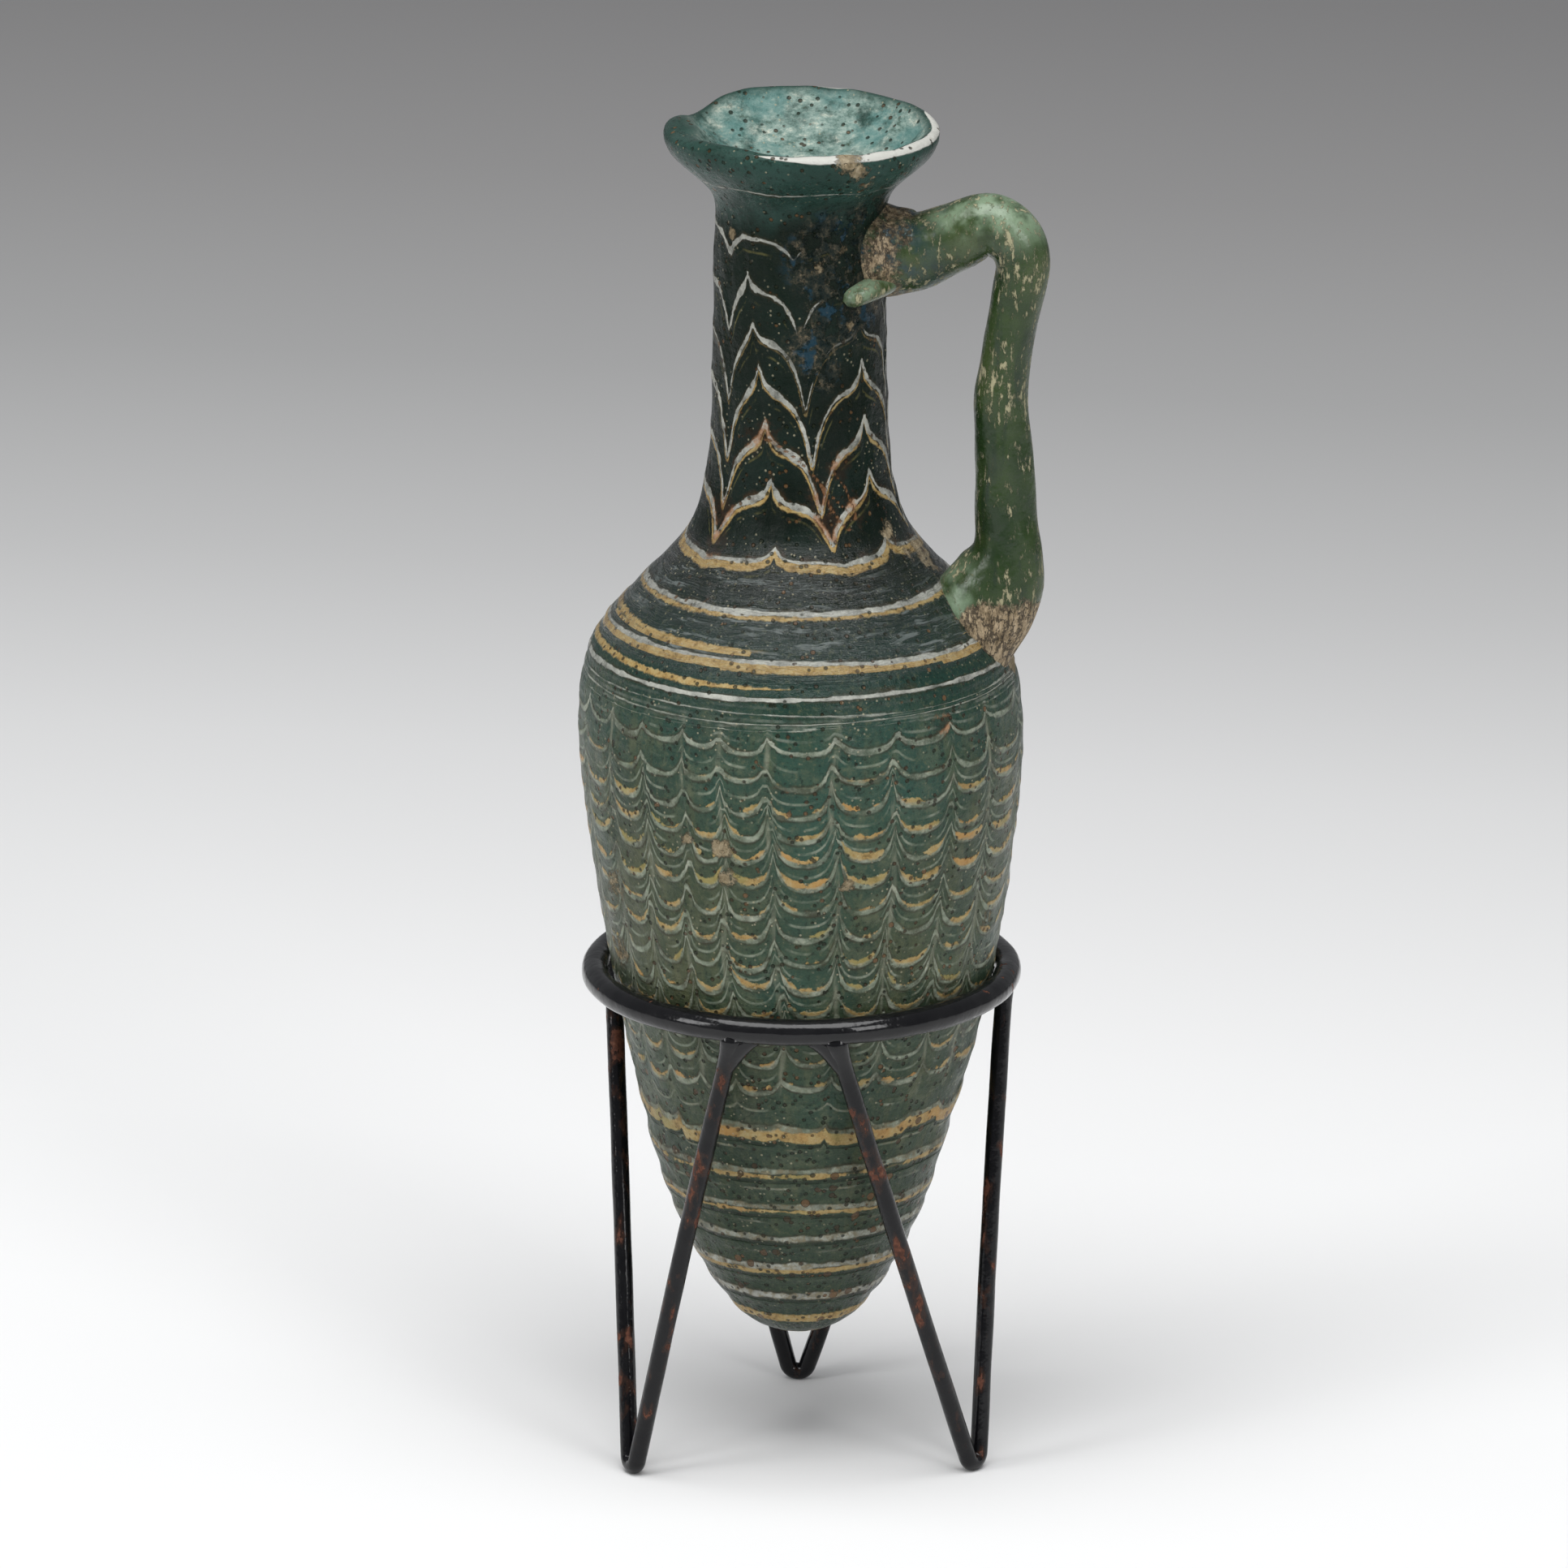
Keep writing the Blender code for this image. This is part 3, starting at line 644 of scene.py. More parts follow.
class Graph:
    """Builds a material's nodes. What goes into one is a Value, a number, a vector or a colour."""

    def __init__(self, name):
        self.material = bpy.data.materials.new(name)
        self.material.use_nodes = True
        self.tree = self.material.node_tree
        self.shader = self.tree.nodes["Principled BSDF"]
        place = self.node("ShaderNodeTexCoord", {}, "Object")
        self.place = self.node("ShaderNodeVectorMath", {0: place, "Scale": 1 / MM}, 0, operation="SCALE")

    def node(self, kind, values, output, **settings):
        made = self.tree.nodes.new(kind)
        for name, value in settings.items():
            setattr(made, name, value)
        for name, value in values.items():
            self.put(made.inputs[name], value)
        return Value(self, made.outputs[output])

    def put(self, socket, value):
        if isinstance(value, Value):
            self.tree.links.new(value.socket, socket)
        else:
            socket.default_value = value

    def set(self, **values):
        for name, value in values.items():
            self.put(self.shader.inputs[name.replace("_", " ")], value)

    def field(self, name):
        return self.node("ShaderNodeAttribute", {}, "Fac", attribute_name=name)

    def math(self, operation, a, b=0.0):
        return self.node("ShaderNodeMath", {0: a, 1: b}, 0, operation=operation)

    def most(self, a, b):
        return self.math("MAXIMUM", a, b)

    def mix(self, share, a, b):
        return self.node("ShaderNodeMix", {0: share, 6: a, 7: b}, 2, data_type="RGBA")

    def step(self, value, low, high, bottom=0.0, top=1.0):
        values = {"Value": value, "From Min": low, "From Max": high, "To Min": bottom, "To Max": top}
        return self.node("ShaderNodeMapRange", values, 0, interpolation_type="SMOOTHSTEP")

    def vector(self, operation, a, b):
        return self.node("ShaderNodeVectorMath", {0: a, 1: b}, 0, operation=operation)

    def stretched(self, across, up):
        return self.vector("MULTIPLY", self.place, (1 / across, 1 / across, 1 / up))

    def moved(self, place, seed):
        """A place so far off that each seed reads another part of a pattern."""
        return self.vector("ADD", place or self.place, (31.7 * seed, -17.3 * seed, 23.9 * seed))

    def noise(self, size, detail=3.0, rough=0.55, place=None, seed=0.0):
        values = {"Scale": 1 / size, "Detail": detail, "Roughness": rough, "Vector": self.moved(place, seed)}
        return self.node("ShaderNodeTexNoise", values, 0)

    def noise_vector(self, size, seed=0.0):
        values = {"Scale": 1 / size, "Detail": 1.0, "Vector": self.moved(None, seed)}
        return self.node("ShaderNodeTexNoise", values, "Color")

    def cells(self, size, output="Distance", seed=0.0):
        values = {"Scale": 1 / size, "Vector": self.moved(None, seed)}
        return self.node("ShaderNodeTexVoronoi", values, output)

    def axis(self, name):
        return self.node("ShaderNodeSeparateXYZ", {0: self.place}, name)

    def ramp(self, value, *stops):
        made = self.tree.nodes.new("ShaderNodeValToRGB")
        self.put(made.inputs[0], value)
        elements = made.color_ramp.elements
        while len(elements) < len(stops):
            elements.new(0.5)
        for element, (position, colour) in zip(elements, stops):
            element.position = position
            element.color = (*colour, 1.0)
        return Value(self, made.outputs[0])

    def bump(self, height, depth):
        return self.node("ShaderNodeBump", {"Height": height, "Distance": depth * MM}, 0)


def glass_material():
    g = Graph("bottle_glass")
    z = g.axis("Z")
    broad = g.noise(26, 3)
    middle = g.noise(7, 4, seed=2)
    fine = g.noise(1.1, 4, seed=3)
    streaks = g.noise(1.0, 4, place=g.stretched(1.6, 14), seed=4)
    bands = g.noise(1.0, 3, place=g.stretched(22, 1.3), seed=5)

    # The glass itself: nearly black in the neck, blue-green in the body, and olive in streaks.
    share = (z - TIP_Z) * (1 / (MOUTH_TOP - TIP_Z))
    base = g.ramp(
        share,
        (0.0, (0.018, 0.034, 0.017)), (0.12, (0.023, 0.043, 0.023)), (0.26, (0.028, 0.049, 0.026)),
        (0.44, (0.031, 0.051, 0.027)), (0.545, (0.016, 0.048, 0.033)), (0.60, (0.008, 0.026, 0.020)),
        (0.65, (0.004, 0.007, 0.005)), (0.93, (0.005, 0.010, 0.006)), (0.96, (0.018, 0.044, 0.035)),
        (1.0, (0.020, 0.048, 0.038)),
    )
    # The lip is cloudy teal in patches.
    cloud = g.step(middle, 0.42, 0.62) * g.step(z, 143, 147)
    base = g.mix(cloud * 0.7, base, (0.036, 0.085, 0.070, 1))
    on_body = g.step(z, 18, 45) * g.step(z, 96, 88)
    olive = g.step(streaks, 0.46, 0.68) * on_body
    olive = g.most(olive * 0.5, g.field("olive") * g.step(streaks, 0.3, 0.6))
    base = g.mix(olive * 0.85, base, (0.086, 0.090, 0.038, 1))
    blue = g.most(g.step(broad, 0.48, 0.66) * 0.5, g.field("teal"))
    blue = blue * on_body * g.step(middle, 0.25, 0.6, 0.5, 1.0)
    base = g.mix(blue * 0.75, base, (0.026, 0.090, 0.068, 1))
    # Grey near the side edges, partly weathering and partly painted edge sheen.
    grey = g.field("grey") * g.step(fine, 0.35, 0.65, 0.4, 1.0)
    base = g.mix(grey * 0.75, base, (0.115, 0.120, 0.085, 1))
    crumbs = g.ramp(
        g.noise(1.2, 6, 0.8, seed=41),
        (0.42, (0.005, 0.012, 0.012)), (0.52, (0.024, 0.028, 0.021)), (0.6, (0.080, 0.070, 0.048)),
        (0.72, (0.32, 0.24, 0.15)),
    )
    crumbs = g.mix(g.step(g.noise(2.6, 3, seed=42), 0.55, 0.62, 0.0, 0.7), crumbs, (0.010, 0.045, 0.075, 1))
    base = g.mix(g.step(middle, 0.3, 0.75, 0.0, 0.4), base, (0.012, 0.028, 0.022, 1))
    haze = g.step(g.noise(3.5, 5, 0.7, seed=7), 0.46, 0.74) * on_body
    base = g.mix(haze * 0.42, base, (0.14, 0.15, 0.09, 1))

    # The wound trails.
    trail, gap = g.field("trail"), g.field("gap")
    off = (trail - g.math("ROUND", trail)) * gap + (g.noise(1.6, 2, seed=11) - 0.5) * 0.28
    width = g.field("white") * g.step(g.noise(3.4, 3, 0.6, seed=12), 0.3, 0.7, 0.55, 1.35)
    # On the neck they thin out in places.
    thin = g.step(g.noise(2.0, 3, 0.6, seed=61), 0.38, 0.6, -0.5, 0.12) * g.step(z, 104, 112)
    width = width * (thin + 1.0)
    rim_edge = g.field("edge") - g.noise(2.0, 2, seed=13) * 0.3
    soft = g.step(z, 92, 88, 0.07, 0.13)
    beside = abs(off) - width
    white = g.step(beside / soft, 1.0, -1.0) * g.step(width, 0.02, 0.09)
    white = g.most(white, g.step(rim_edge, 0.58, 0.42))
    worn = g.noise(2.6, 5, 0.7, seed=14)
    # Fainter threads run between the festoons.
    thin = abs((g.math("FRACT", trail) - 0.5) * gap) - 0.1
    thin = g.step(thin, 0.14, -0.04) * on_body * g.step(g.noise(5.0, 4, 0.6, seed=42), 0.44, 0.6, 0.0, 0.7)
    # On the body many stretches are worn thin.
    faint = g.mix(on_body, (1, 1, 1, 1), g.step(worn, 0.36, 0.6, 0.2, 0.95))
    white = g.most(white * faint, thin)
    on_neck = g.step(z, 104, 108) * g.step(z, 146, 142)
    second = abs(off - 1.5) - 0.1
    second = g.step(second, 0.12, -0.06) * on_neck
    second = second * g.step(g.noise(3.6, 5, 0.7, seed=49), 0.46, 0.62, 0.0, 0.8)
    gold_width = g.field("yellow")
    patchy = g.step(g.noise(4.0, 4, 0.65, seed=15), 0.42, 0.56)
    patchy = g.most(g.mix(on_body, (1, 1, 1, 1), patchy), g.step(gold_width, 0.5, 0.62))
    ragged = (g.noise(0.9, 4, 0.7, seed=16) - 0.5) * 0.7
    gold_width = gold_width * patchy
    gold = abs(off - g.field("drop")) + ragged - gold_width
    gold = g.step(gold, 0.12, -0.1) * g.step(gold_width, 0.02, 0.12)
    # A dark painted shade rims each white trail, where the raised glass meets the body.
    trail_edge_shade = g.step(beside, 0.42, 0.05) * g.step(width, 0.05, 0.14)
    trail_edge_shade = trail_edge_shade * g.step(g.noise(2.2, 5, 0.7, seed=17), 0.36, 0.62, 0.1, 0.85)

    grain = g.noise(0.6, 3, 0.7, seed=47)
    lit = g.step(grain, 0.52, 0.72, 0.0, 0.4) * g.step(z, 112, 100, 0.1, 1.0)
    base = g.mix(lit, base, (0.11, 0.115, 0.06, 1))
    base = g.mix(g.step(grain, 0.47, 0.3, 0.0, 0.7), base, (0.006, 0.012, 0.008, 1))
    colour = g.mix(trail_edge_shade, base, (0.028, 0.024, 0.011, 1))
    stain = g.step(beside, 0.9, 0.1) * (g.step(z, 103, 107) * g.step(z, 128, 118))
    stain = stain * g.step(g.noise(2.6, 6, 0.75, seed=45), 0.48, 0.66, 0.0, 0.7)
    colour = g.mix(stain, colour, (0.040, 0.020, 0.009, 1))
    colour = g.mix(second, colour, (0.085, 0.080, 0.030, 1))
    # A dark painted shade lies in the groove beside each trail of the base.
    groove = off - (g.field("yellow") * 1.9 + 0.75)
    groove = g.step(abs(groove), 0.3, 0.08) * g.step(z, 49, 44)
    groove = groove * g.step(g.noise(3.5, 4, seed=46), 0.28, 0.5)
    colour = g.mix(groove * 0.85, colour, (0.008, 0.017, 0.008, 1))
    flaked = g.noise(1.3, 6, 0.8, seed=18)
    gold_colour = g.ramp(
        flaked, (0.32, (0.13, 0.075, 0.02)), (0.48, (0.35, 0.235, 0.085)), (0.68, (0.43, 0.35, 0.17))
    )
    dull = g.noise(7.0, 2, seed=50)
    olive_gold = g.step(dull, 0.5, 0.66, 0.0, 0.65) * on_body
    gold_colour = g.mix(olive_gold, gold_colour, (0.21, 0.20, 0.06, 1))
    orange = g.step(dull, 0.46, 0.34, 0.0, 0.55) * on_body
    gold_colour = g.mix(orange, gold_colour, (0.46, 0.23, 0.06, 1))
    colour = g.mix(gold * 0.9, colour, gold_colour)
    veil = g.noise(2.6, 6, 0.75, seed=48)
    white_neck = g.ramp(
        veil, (0.34, (0.10, 0.105, 0.09)), (0.48, (0.285, 0.29, 0.26)), (0.66, (0.43, 0.435, 0.385))
    )
    white_body = g.ramp(
        veil, (0.34, (0.09, 0.11, 0.07)), (0.5, (0.20, 0.235, 0.175)), (0.68, (0.37, 0.39, 0.31))
    )
    white_colour = g.mix(on_body, white_neck, white_body)
    tan = g.step(z, 52, 42) * g.step(g.noise(0.9, 4, 0.75, seed=52), 0.4, 0.6, 0.0, 0.85)
    white_colour = g.mix(tan, white_colour, (0.17, 0.145, 0.085, 1))
    white_colour = g.mix(g.step(rim_edge, 0.9, 0.7), white_colour, (0.50, 0.50, 0.46, 1))
    colour = g.mix(white * (1.0 - stain * 0.75), colour, white_colour)

    # The comb's lines left pale drawn-out threads.
    thread = g.step(g.field("comb"), 0.45, 0.08) * (on_body * g.step(z, 44, 52))
    broken = g.noise(1.0, 4, 0.6, place=g.stretched(1.6, 7), seed=20)
    thread = thread * g.step(broken, 0.42, 0.62, 0.0, 0.65)
    colour = g.mix(thread, colour, (0.20, 0.21, 0.15, 1))

    # Scratched frost in the funnel.
    frost = g.field("frost") * g.step(g.noise(3.4, 5, 0.7, seed=21), 0.28, 0.52)
    scratched = g.noise(1.0, 6, 0.8, place=g.stretched(2.4, 1.1), seed=22)
    frost_colour = g.ramp(
        scratched,
        (0.34, (0.050, 0.080, 0.058)), (0.44, (0.13, 0.205, 0.18)), (0.56, (0.26, 0.335, 0.295)),
        (0.68, (0.56, 0.56, 0.46)),
    )
    teal = g.step(g.noise(5.0, 3, seed=53), 0.48, 0.62, 0.0, 0.6)
    frost_colour = g.mix(teal, frost_colour, (0.065, 0.175, 0.165, 1))
    colour = g.mix(frost, colour, frost_colour)

    # Wavy brush-like lines run round the shoulder between its trails, in relief, with pale painted glints of
    # sheen along them.
    on_shoulder = g.step(z, 96, 98) * g.step(z, 110, 107)
    drift = g.vector("ADD", g.stretched(5.0, 0.5), g.noise_vector(4.0, seed=43))
    brushed = g.noise(1.0, 4, 0.65, place=drift, seed=44) * on_shoulder
    painted_glint = g.step(brushed, 0.53, 0.64, 0.0, 0.75) * g.step(broad, 0.42, 0.56, 0.25, 1.0)
    colour = g.mix(painted_glint * (1.0 - g.most(white, gold)), colour, (0.165, 0.190, 0.183, 1))

    # Brown pits, rust, crack and crust.
    chosen = g.node("ShaderNodeSeparateColor", {0: g.cells(1.7, "Color", seed=1.0)}, 0)
    pit_size = g.step(chosen + g.step(z, 56, 36, -0.2, 0.22), 0.35, 1.1, 0.0, 0.29)
    pits = g.step(g.cells(1.7, seed=1.0) - pit_size, 0.03, -0.03) * g.step(pit_size, 0.01, 0.05)
    small_chosen = g.node("ShaderNodeSeparateColor", {0: g.cells(0.85, "Color", seed=2.0)}, 1)
    # Small ones crowd on the yellow and on the base.
    crowd = g.most(gold * 0.3, g.step(z, 52, 36, 0.0, 0.28))
    specks = g.step(g.cells(0.85, seed=2.0), 0.35, 0.2) * g.step(small_chosen + crowd, 0.66, 0.7)
    pits = g.most(pits, specks)
    pit_colour = g.ramp(
        chosen, (0.5, (0.010, 0.014, 0.006)), (0.85, (0.045, 0.024, 0.009)), (1.0, (0.13, 0.07, 0.03))
    )
    colour = g.mix(pits * 0.85, colour, pit_colour)
    light_specks = g.step(g.cells(0.8, seed=3.0), 0.2, 0.12) * 0.6 * g.step(middle, 0.42, 0.6)
    colour = g.mix(light_specks, colour, (0.34, 0.31, 0.21, 1))
    # The old surface round the handle's root has crumbled.
    aged = g.step(g.field("faded"), 0.08, 0.7) * g.step(g.noise(2.4, 6, 0.75, seed=51), 0.43, 0.51)
    colour = g.mix(aged * 0.9, colour, crumbs)
    # Rust keeps to the trails, with a dark brown bloom beside them.
    near = g.step(beside, 0.5, -0.1)
    rust = g.field("rust") * 0.6 + g.noise(1.5, 6, 0.75, seed=24) * 1.5
    rust = g.step(rust, 1.02, 1.34) * g.step(g.field("rust"), 0.04, 0.25)
    rust_colour = g.ramp(
        fine * 0.6 + near * 0.4,
        (0.3, (0.022, 0.012, 0.007)), (0.5, (0.09, 0.042, 0.020)), (0.75, (0.33, 0.18, 0.095)),
    )
    colour = g.mix(rust * g.step(near, 0.0, 1.0, 0.55, 0.9), colour, rust_colour)
    crack = g.step(g.field("crack") + (g.noise(1.4, 3, seed=25) - 0.5) * 0.5, 0.22, 0.08)
    colour = g.mix(crack * 0.85, colour, (0.16, 0.078, 0.035, 1))
    crust = g.field("crust") + g.noise(1.2, 6, 0.8, seed=26) * 1.5
    crust = g.step(crust, 1.18, 1.38) * g.step(g.field("crust"), 0.08, 0.3)
    crust_colour = g.ramp(
        g.noise(1.0, 5, 0.7, seed=27),
        (0.3, (0.11, 0.08, 0.04)), (0.5, (0.29, 0.23, 0.14)), (0.7, (0.46, 0.39, 0.27)),
    )
    colour = g.mix(crust * 0.9, colour, crust_colour)

    rough = g.step(g.noise(2.2, 4, 0.65, seed=28), 0.3, 0.7, 0.17, 0.36)
    rough = rough * g.step(on_shoulder, 0.0, 1.0, 1.0, 0.55)
    rough = rough + g.most(frost, on_body) * 0.12 + g.most(crust, rust) * 0.4

    relief = g.most(white, gold) * 0.5 - pits * 1.3 - (crack + groove)
    relief = relief + g.noise(0.9, 4, 0.75, seed=29) * 1.1 + aged * 0.8 + bands * 0.9
    relief = relief + brushed * 6.5 + crust * g.noise(0.6, 5, 0.7, seed=30) * 2.0
    g.set(Base_Color=colour, Roughness=rough, Normal=g.bump(relief, 0.15))
    g.set(IOR=1.5, Specular_IOR_Level=on_shoulder * 0.4 + g.step(z, 105, 113, 0.23, 0.1))
    return g.material


def unit(vector):
    return vector / np.linalg.norm(vector)


def sweep(path, sizes, side, sides, ripple=0.0, seed=1, length=6.0):
    """Vertices and quads of a tube of oval rings along a path, with closed ends."""
    path, sizes = np.asarray(path, float), np.asarray(sizes, float)
    along = np.gradient(path, axis=0)
    along /= np.linalg.norm(along, axis=1)[:, None]
    side = np.asarray(side, float)
    across = np.cross(along, side)
    across /= np.linalg.norm(across, axis=1)[:, None]
    up = np.cross(across, along)
    angle = 2 * math.pi * np.arange(sides) / sides
    run = np.concatenate([[0], np.cumsum(np.linalg.norm(np.diff(path, axis=0), axis=1))])
    swell = 1 + ripple * ripples(np.degrees(angle)[None, :], run[:, None], seed, 24, 4, length)
    rings = path[:, None, :] + (
        across[:, None, :] * (sizes[:, :1] * np.cos(angle) * swell)[..., None]
        + up[:, None, :] * (sizes[:, 1:] * np.sin(angle) * swell)[..., None]
    )
    vertices = np.concatenate([rings.reshape(-1, 3), path[:1], path[-1:]])
    faces = [tuple(f) for f in grid_faces(len(path), sides)]
    first, last = len(path) * sides, len(path) * sides + 1
    end = (len(path) - 1) * sides
    faces += [(first, (j + 1) % sides, j) for j in range(sides)]
    faces += [(last, end + j, end + (j + 1) % sides) for j in range(sides)]
    return vertices, faces


def joined(parts):
    """Several (vertices, faces) as one."""
    vertices, faces = [], []
    count = 0
    for part_vertices, part_faces in parts:
        faces += [tuple(v + count for v in f) for f in part_faces]
        vertices.append(part_vertices)
        count += len(part_vertices)
    return np.concatenate(vertices), faces


# The handle's centreline: (reach from the bottle's axis, height, half thickness, half breadth), in mm.
HANDLE_LINE = (
    (7.2, 140.6, 5.6, 5.8), (9.4, 140.6, 5.2, 5.4), (11.2, 140.7, 4.7, 4.6), (13.6, 140.9, 4.3, 4.0),
    (17.0, 142.5, 3.85, 3.65), (21.4, 144.2, 3.4, 3.35), (23.8, 142.8, 3.25, 3.25),
    (24.85, 140.1, 3.08, 3.15), (23.7, 133.1, 2.78, 2.95), (22.5, 124.6, 2.95, 3.0),
    (22.9, 118.2, 3.2, 3.2), (23.2, 110.7, 3.5, 3.4), (23.35, 107.0, 4.0, 3.7), (22.65, 104.2, 5.1, 4.1),
    (21.0, 101.0, 5.7, 4.5), (18.8, 97.4, 5.8, 4.9), (17.4, 94.4, 5.4, 4.6),
)
# The tail that lies round the front of the neck, and a shorter drip behind it: (end in degrees from
# +X, size in mm, height).
TAILS = ((-50, 1.85, 137.7), (28, 1.3, 138.2))
TAIL_STEPS = 22


def build_handle(material):
    """The handle with its drawn-out root, its foot and the tail pressed along the neck."""
    line = catmull(HANDLE_LINE, 9)
    path = np.stack([AXIS_X + line[:, 0], 0 * line[:, 0], line[:, 1]], -1)
    parts = [sweep(path, line[:, 2:], (0, 1, 0), 56, 0.022, 31)]
    for end, size, height in TAILS:
        points, sizes = [], []
        for i in range(TAIL_STEPS + 1):
            share = i / TAIL_STEPS
            a = math.radians(end * share)
            r = outer_radius(height) + 0.15
            droop = 1.2 * share**2
            points.append((AXIS_X + r * math.cos(a), r * math.sin(a), height - droop))
            round_off = math.sqrt(max(0.0, 1 - max(0.0, (share - 0.82) / 0.18) ** 2))
            sizes.append((size * (1.35 - 0.55 * share) * round_off, size * (0.8 - 0.2 * share) * round_off))
        sizes[-1] = (0.05, 0.05)
        parts.append(sweep(points, sizes, (0, 0, 1), 28, 0.06, 33))
    vertices, faces = joined(parts)
    obj = new_piece("handle_glass", vertices, faces, material, "bottle")
    x, z = vertices[:, 0] - AXIS_X, vertices[:, 2]
    reach = np.hypot(x, vertices[:, 1])
    root = smooth(z, 130, 134)
    foot = (1 - smooth(z, 99.5, 104.5)) * smooth(x, 17.0, 20.0)
    web = (1 - smooth(z, 103, 108)) * (1 - smooth(x, 18.5, 22.0))
    # The top bend is made pale as a painted highlight; the web and the tail are pale glass.
    bend = smooth(z, 140.5, 146.0) * smooth(x, 12, 17)
    tail = np.zeros(len(vertices))
    tail[len(parts[0][0]) :] = 1.0
    tail *= smooth(np.abs(np.degrees(np.arctan2(vertices[:, 1], x))), 6, 24)
    crust = np.maximum(0.56 * (1 - smooth(reach, 11.0, 17.5)) * root * (1 - tail), 0.85 * foot)
    add_field(obj.data, "crust", crust)
    add_field(obj.data, "blue", 0.8 * root * (1 - smooth(reach, 11.0, 19.0)) * (1 - tail))
    add_field(obj.data, "pale", np.maximum(np.maximum(bend, web), tail))


def handle_material():
    g = Graph("handle_glass")
    broad = g.noise(9, 4)
    fine = g.noise(1.2, 5, 0.65, seed=2)
    streaks = g.noise(1.0, 4, 0.6, place=g.stretched(1.3, 9), seed=3)
    colour = g.ramp(
        broad, (0.34, (0.011, 0.028, 0.007)), (0.5, (0.028, 0.051, 0.014)), (0.66, (0.054, 0.078, 0.027))
    )
    colour = g.mix(g.step(streaks, 0.48, 0.7, 0.0, 0.75), colour, (0.010, 0.024, 0.012, 1))
    # Pale glass on the web and the tail, and a painted highlight on the top bend.
    pale = g.field("pale") * g.step(g.noise(3.2, 4, seed=4), 0.34, 0.6)
    colour = g.mix(pale * 0.85, colour, (0.205, 0.285, 0.185, 1))
    blue = g.field("blue") * g.step(g.noise(2.6, 4, seed=5), 0.42, 0.62)
    colour = g.mix(blue, colour, (0.008, 0.036, 0.060, 1))
    # Tan flakes that cling to the glass in upright flecks.
    flakes = g.noise(1.0, 6, 0.75, place=g.stretched(0.7, 1.9), seed=6) + g.noise(7, 2, seed=7) * 0.3
    flakes = g.step(flakes, 0.69, 0.76)
    colour = g.mix(flakes * 0.85, colour, (0.36, 0.33, 0.20, 1))
    crust = g.field("crust") + g.noise(1.9, 7, 0.75, seed=8) * 1.3
    crust = g.step(crust, 1.08, 1.25) * g.step(g.field("crust"), 0.05, 0.3)
    crust_colour = g.ramp(
        g.noise(1.0, 6, 0.8, place=g.stretched(0.9, 2.0), seed=9),
        (0.36, (0.07, 0.045, 0.020)), (0.48, (0.33, 0.245, 0.145)), (0.64, (0.56, 0.44, 0.29)),
    )
    colour = g.mix(crust * 0.92, colour, crust_colour)
    fibres = g.noise(1.0, 4, 0.65, place=g.stretched(1.1, 2.6), seed=12)
    cracks = g.step(abs(fibres - 0.5), 0.05, 0.015) * crust
    colour = g.mix(cracks * 0.8, colour, (0.014, 0.009, 0.005, 1))
    rough = g.step(fine, 0.3, 0.7, 0.16, 0.36) + g.most(crust, flakes) * 0.4
    relief = fine * 0.5 + flakes * 0.5 + crust * g.noise(0.8, 6, 0.7, seed=10) * 2.5
    relief = relief + g.noise(3.0, 3, seed=11) * 2.0
    g.set(Base_Color=colour, Roughness=rough, Normal=g.bump(relief, 0.12))
    g.set(IOR=1.5, Specular_IOR_Level=0.4)
    return g.material


def paint_material():
    """Glossy black paint on wire, lumpy, and chipped to rust in places."""
    g = Graph("black_paint")
    lumps = g.noise(2.4, 3)
    grain = g.noise(0.5, 4, 0.6, seed=2)
    chips = g.noise(1.0, 4, 0.55, place=g.stretched(1.7, 3.6), seed=3) + g.noise(10, 2, seed=4) * 0.4
    # The legs have lost more paint than the ring.
    z = g.axis("Z")
    chips = chips + g.step(z, 54, 50, 0.0, 0.06) * g.step(z, 2, 8)
    rust = g.step(chips, 0.885, 0.9)
    rust_colour = g.ramp(
        grain, (0.35, (0.048, 0.019, 0.012)), (0.6, (0.125, 0.046, 0.027)), (0.8, (0.22, 0.12, 0.075))
    )
    colour = g.ramp(lumps, (0.3, (0.003, 0.003, 0.004)), (0.7, (0.007, 0.007, 0.008)))
    bloom = g.step(chips, 0.78, 0.885) * g.step(z, 54, 50, 0.0, 0.6)
    colour = g.mix(bloom, colour, (0.045, 0.020, 0.012, 1))
    colour = g.mix(rust, colour, rust_colour)
    rough = g.step(grain, 0.3, 0.7, 0.11, 0.22) + rust * 0.45
    relief = lumps * 1.4 + grain * 0.06 - rust * 0.35
    g.set(Base_Color=colour, Roughness=rough, Normal=g.bump(relief, 0.14), Specular_IOR_Level=0.2)
    coat = g.step(rust, 0.3, 0.0) * g.step(z, 54, 50, 0.4, 0.15)
    g.set(Coat_Weight=coat, Coat_Roughness=0.05)
    return g.material


def polar(radius, degrees, height):
    a = math.radians(degrees)
    return np.array([AXIS_X + radius * math.cos(a), radius * math.sin(a), height])


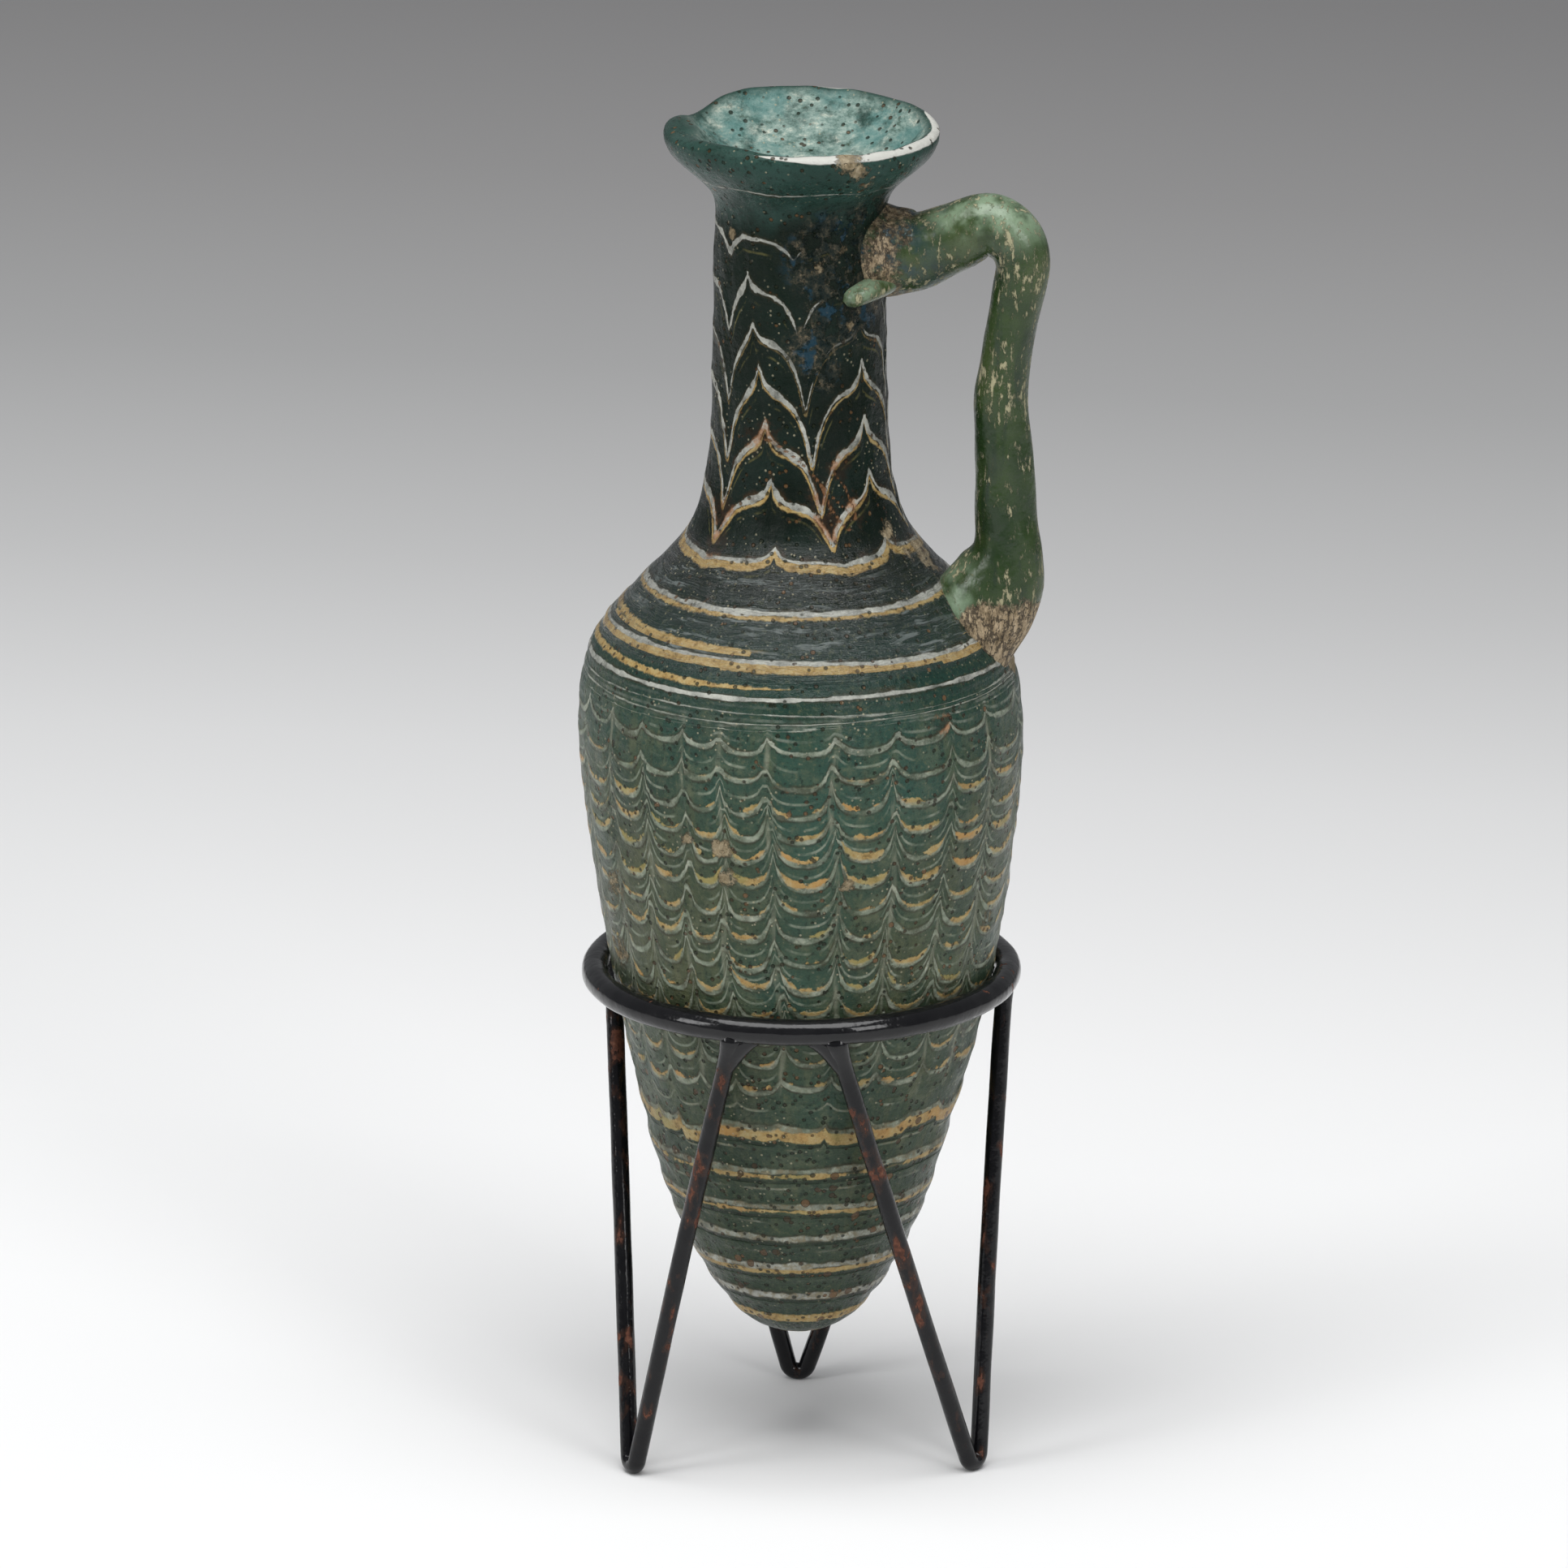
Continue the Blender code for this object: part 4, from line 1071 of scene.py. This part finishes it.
def build_ring(material):
    """The ring's wire, bent by hand and so not quite even."""
    angle = np.linspace(0, 360, 240, endpoint=False)
    sides = 28
    tube = np.linspace(0, 360, sides, endpoint=False)
    wobble = 0.1 * ripples(angle, 0 * angle, 51, 6, 5, 10)
    thick = 0.03 * ripples(angle[:, None], tube[None, :], 52, 16, 24, 300) + RING_WIRE / 2
    r = RING_RADIUS + wobble[:, None] * 0.4 + thick * np.cos(np.radians(tube))
    z = RING_Z + wobble[:, None] * 0.5 + thick * np.sin(np.radians(tube))
    a = np.radians(angle)[:, None]
    vertices = np.stack([AXIS_X + r * np.cos(a), r * np.sin(a), z], -1).reshape(-1, 3)
    i, j = np.meshgrid(np.arange(len(angle)), np.arange(sides), indexing="ij")
    i2, j2 = (i + 1) % len(angle), (j + 1) % sides
    faces = np.stack([i * sides + j, i2 * sides + j, i2 * sides + j2, i * sides + j2], -1).reshape(-1, 4)
    new_piece("stand_ring_wire", vertices, faces, material, "stand_ring")


# Legs, as the solids have them: the angles of the foot and of both ends, from +X.
LEGS = (
    ("stand_leg_left", -141, -191, -97),
    ("stand_leg_right", -12, -69, 19),
    ("stand_leg_back", 103, 50, 142),
)
LEG_RADIUS = 1.0
FOOT_RADIUS = 21.3
FOOT_BEND = 1.15
FILLET, FILLET_FALL = 0.45, 2.2
# How far the braze runs along the ring, in degrees.
BRAZE_REACH = 6.5


def build_leg(node, foot, first, last, material):
    """A hairpin of wire, brazed into the ring with a fillet at each end."""
    centre = polar(FOOT_RADIUS, foot, LEG_RADIUS + FOOT_BEND - 0.1)
    ends = [polar(RING_RADIUS, a, RING_Z - 0.5) for a in (first, last)]
    side = unit(np.cross(ends[1] - centre, ends[0] - centre))

    def tangent(end, way):
        away = end - centre
        share = FOOT_BEND / np.linalg.norm(away)
        return centre + away * share**2 + np.cross(way, away) * share * math.sqrt(1 - share**2)

    start, stop = tangent(ends[0], side), tangent(ends[1], -side)
    bow = np.random.default_rng(abs(foot)).uniform(-0.35, 0.35, 2)

    def arm(from_end, to_foot, bend):
        """Places and radii down an arm, thickest where the braze runs down from the ring."""
        line = []
        run = np.linalg.norm(to_foot - from_end)
        outwards = np.cross(side, (to_foot - from_end) / run)
        for share in np.linspace(0, 1, 44):
            here = from_end + (to_foot - from_end) * share + outwards * bend * math.sin(math.pi * share)
            fillet = FILLET * math.exp(-((share * run / FILLET_FALL) ** 2))
            line.append((here, LEG_RADIUS + fillet))
        return line

    down = arm(ends[0], start, bow[0])
    up = arm(ends[1], stop, -bow[1])[::-1]
    middle = unit(unit(centre - ends[0]) + unit(centre - ends[1]))
    bend = []
    for share in np.linspace(-1, 1, 17)[1:-1]:
        to = ((start if share < 0 else stop) - centre) / FOOT_BEND
        swing = abs(share) * math.acos(np.clip(middle @ to, -1, 1))
        way = middle * math.cos(swing) + unit(to - middle * (middle @ to)) * math.sin(swing)
        bend.append((centre + way * FOOT_BEND, LEG_RADIUS))
    points, radii = zip(*down, *bend, *up)
    sizes = [(radius, radius) for radius in radii]
    parts = [sweep(points, sizes, side, 22, 0.02, abs(foot), 9.0)]
    # The braze ran out along the ring on the outer side of each arm.
    for end, other, outermost in ((first, last, down[4]), (last, first, up[-5])):
        outwards = -math.copysign(1.0, other - end)
        on_ring = polar(RING_RADIUS, end + outwards * BRAZE_REACH, RING_Z - 0.9)
        web, sizes = [], []
        for share in np.linspace(0, 1, 12):
            arch = math.sin(math.pi * share)
            web.append(on_ring + (outermost[0] - on_ring) * share + np.array([0.0, 0.0, 0.9]) * arch)
            sizes.append((0.75 + 0.35 * arch, 0.75 + 0.35 * arch))
        parts.append(sweep(web, sizes, side, 16, 0.04, 5, 5.0))
    vertices, faces = joined(parts)
    vertices[:, 2] = np.maximum(vertices[:, 2], 0.0)
    new_piece(node + "_wire", vertices, faces, material, node)


def build_floor():
    """A pale table whose colour darkens to grey towards the back, a painted falloff of the light."""
    g = Graph("pale_floor")
    share = (g.axis("Y") + 100.0) * (1 / 1000)
    painted_falloff_tone = g.ramp(
        share,
        (0.0, (0.83, 0.83, 0.83)), (0.12, (0.845, 0.845, 0.845)), (0.20, (0.87, 0.87, 0.87)),
        (0.28, (0.80, 0.80, 0.80)), (0.36, (0.72, 0.72, 0.72)), (0.45, (0.58, 0.58, 0.58)),
        (0.56, (0.45, 0.45, 0.45)), (0.68, (0.375, 0.37, 0.37)), (0.82, (0.315, 0.31, 0.312)),
        (1.0, (0.272, 0.267, 0.267)),
    )
    g.set(Base_Color=painted_falloff_tone, Roughness=0.75, Specular_IOR_Level=0.15)
    bpy.ops.mesh.primitive_circle_add(vertices=96, radius=3.0, fill_type="NGON", location=(0, 0, 0))
    floor = bpy.context.object
    floor.name = "table"
    floor.data.materials.append(g.material)


# Soft boxes: (name, place and size in metres, power in watts). All are turned to LIGHTS_AIM.
LIGHTS = (
    ("top_box", (0.02, -0.3, 1.05), (1.0, 0.7), 11.5),
    ("front_left", (-1.0, -0.9, 0.7), (0.4, 0.7), 5.5),
    ("front_right", (1.0, -0.9, 0.7), (0.4, 0.7), 5.0),
)
LIGHTS_AIM = (0, 0, 0.08)


def area_light(name, place, size, power):
    light = bpy.data.lights.new(name, "AREA")
    light.shape = "RECTANGLE"
    light.size, light.size_y = size
    light.energy = power
    obj = bpy.data.objects.new(name, light)
    obj.location = place
    obj.rotation_euler = (Vector(LIGHTS_AIM) - Vector(place)).to_track_quat("-Z", "Y").to_euler()
    bpy.context.scene.collection.objects.link(obj)


def build_lights():
    for light in LIGHTS:
        area_light(*light)
    world = bpy.data.worlds.new("pale_room")
    world.use_nodes = True
    background = world.node_tree.nodes["Background"]
    background.inputs["Color"].default_value = (0.95, 0.97, 1.0, 1)
    background.inputs["Strength"].default_value = 0.24
    bpy.context.scene.world = world


def build_camera():
    a, e = math.radians(AZIMUTH), math.radians(ELEVATION)
    target = Vector((AXIS_X + TARGET_ACROSS * math.cos(a), TARGET_ACROSS * math.sin(a), TARGET_HEIGHT)) * MM
    back = Vector((math.sin(a) * math.cos(e), -math.cos(a) * math.cos(e), math.sin(e)))
    camera = bpy.data.cameras.new("camera")
    camera.sensor_width = SENSOR
    camera.lens = FOCAL_PIXELS * SENSOR / PHOTO_PIXELS
    camera.clip_start = 0.01
    camera.clip_end = 20
    obj = bpy.data.objects.new("camera", camera)
    obj.location = target + back * CAMERA_DISTANCE * MM
    obj.rotation_euler = (-back).to_track_quat("-Z", "Y").to_euler()
    bpy.context.scene.collection.objects.link(obj)
    bpy.context.scene.camera = obj


def main():
    build_camera()
    build_vessel(glass_material())
    build_handle(handle_material())
    paint = paint_material()
    build_ring(paint)
    for leg in LEGS:
        build_leg(*leg, paint)
    build_floor()
    build_lights()
    bpy.context.scene.view_settings.view_transform = "Standard"


main()
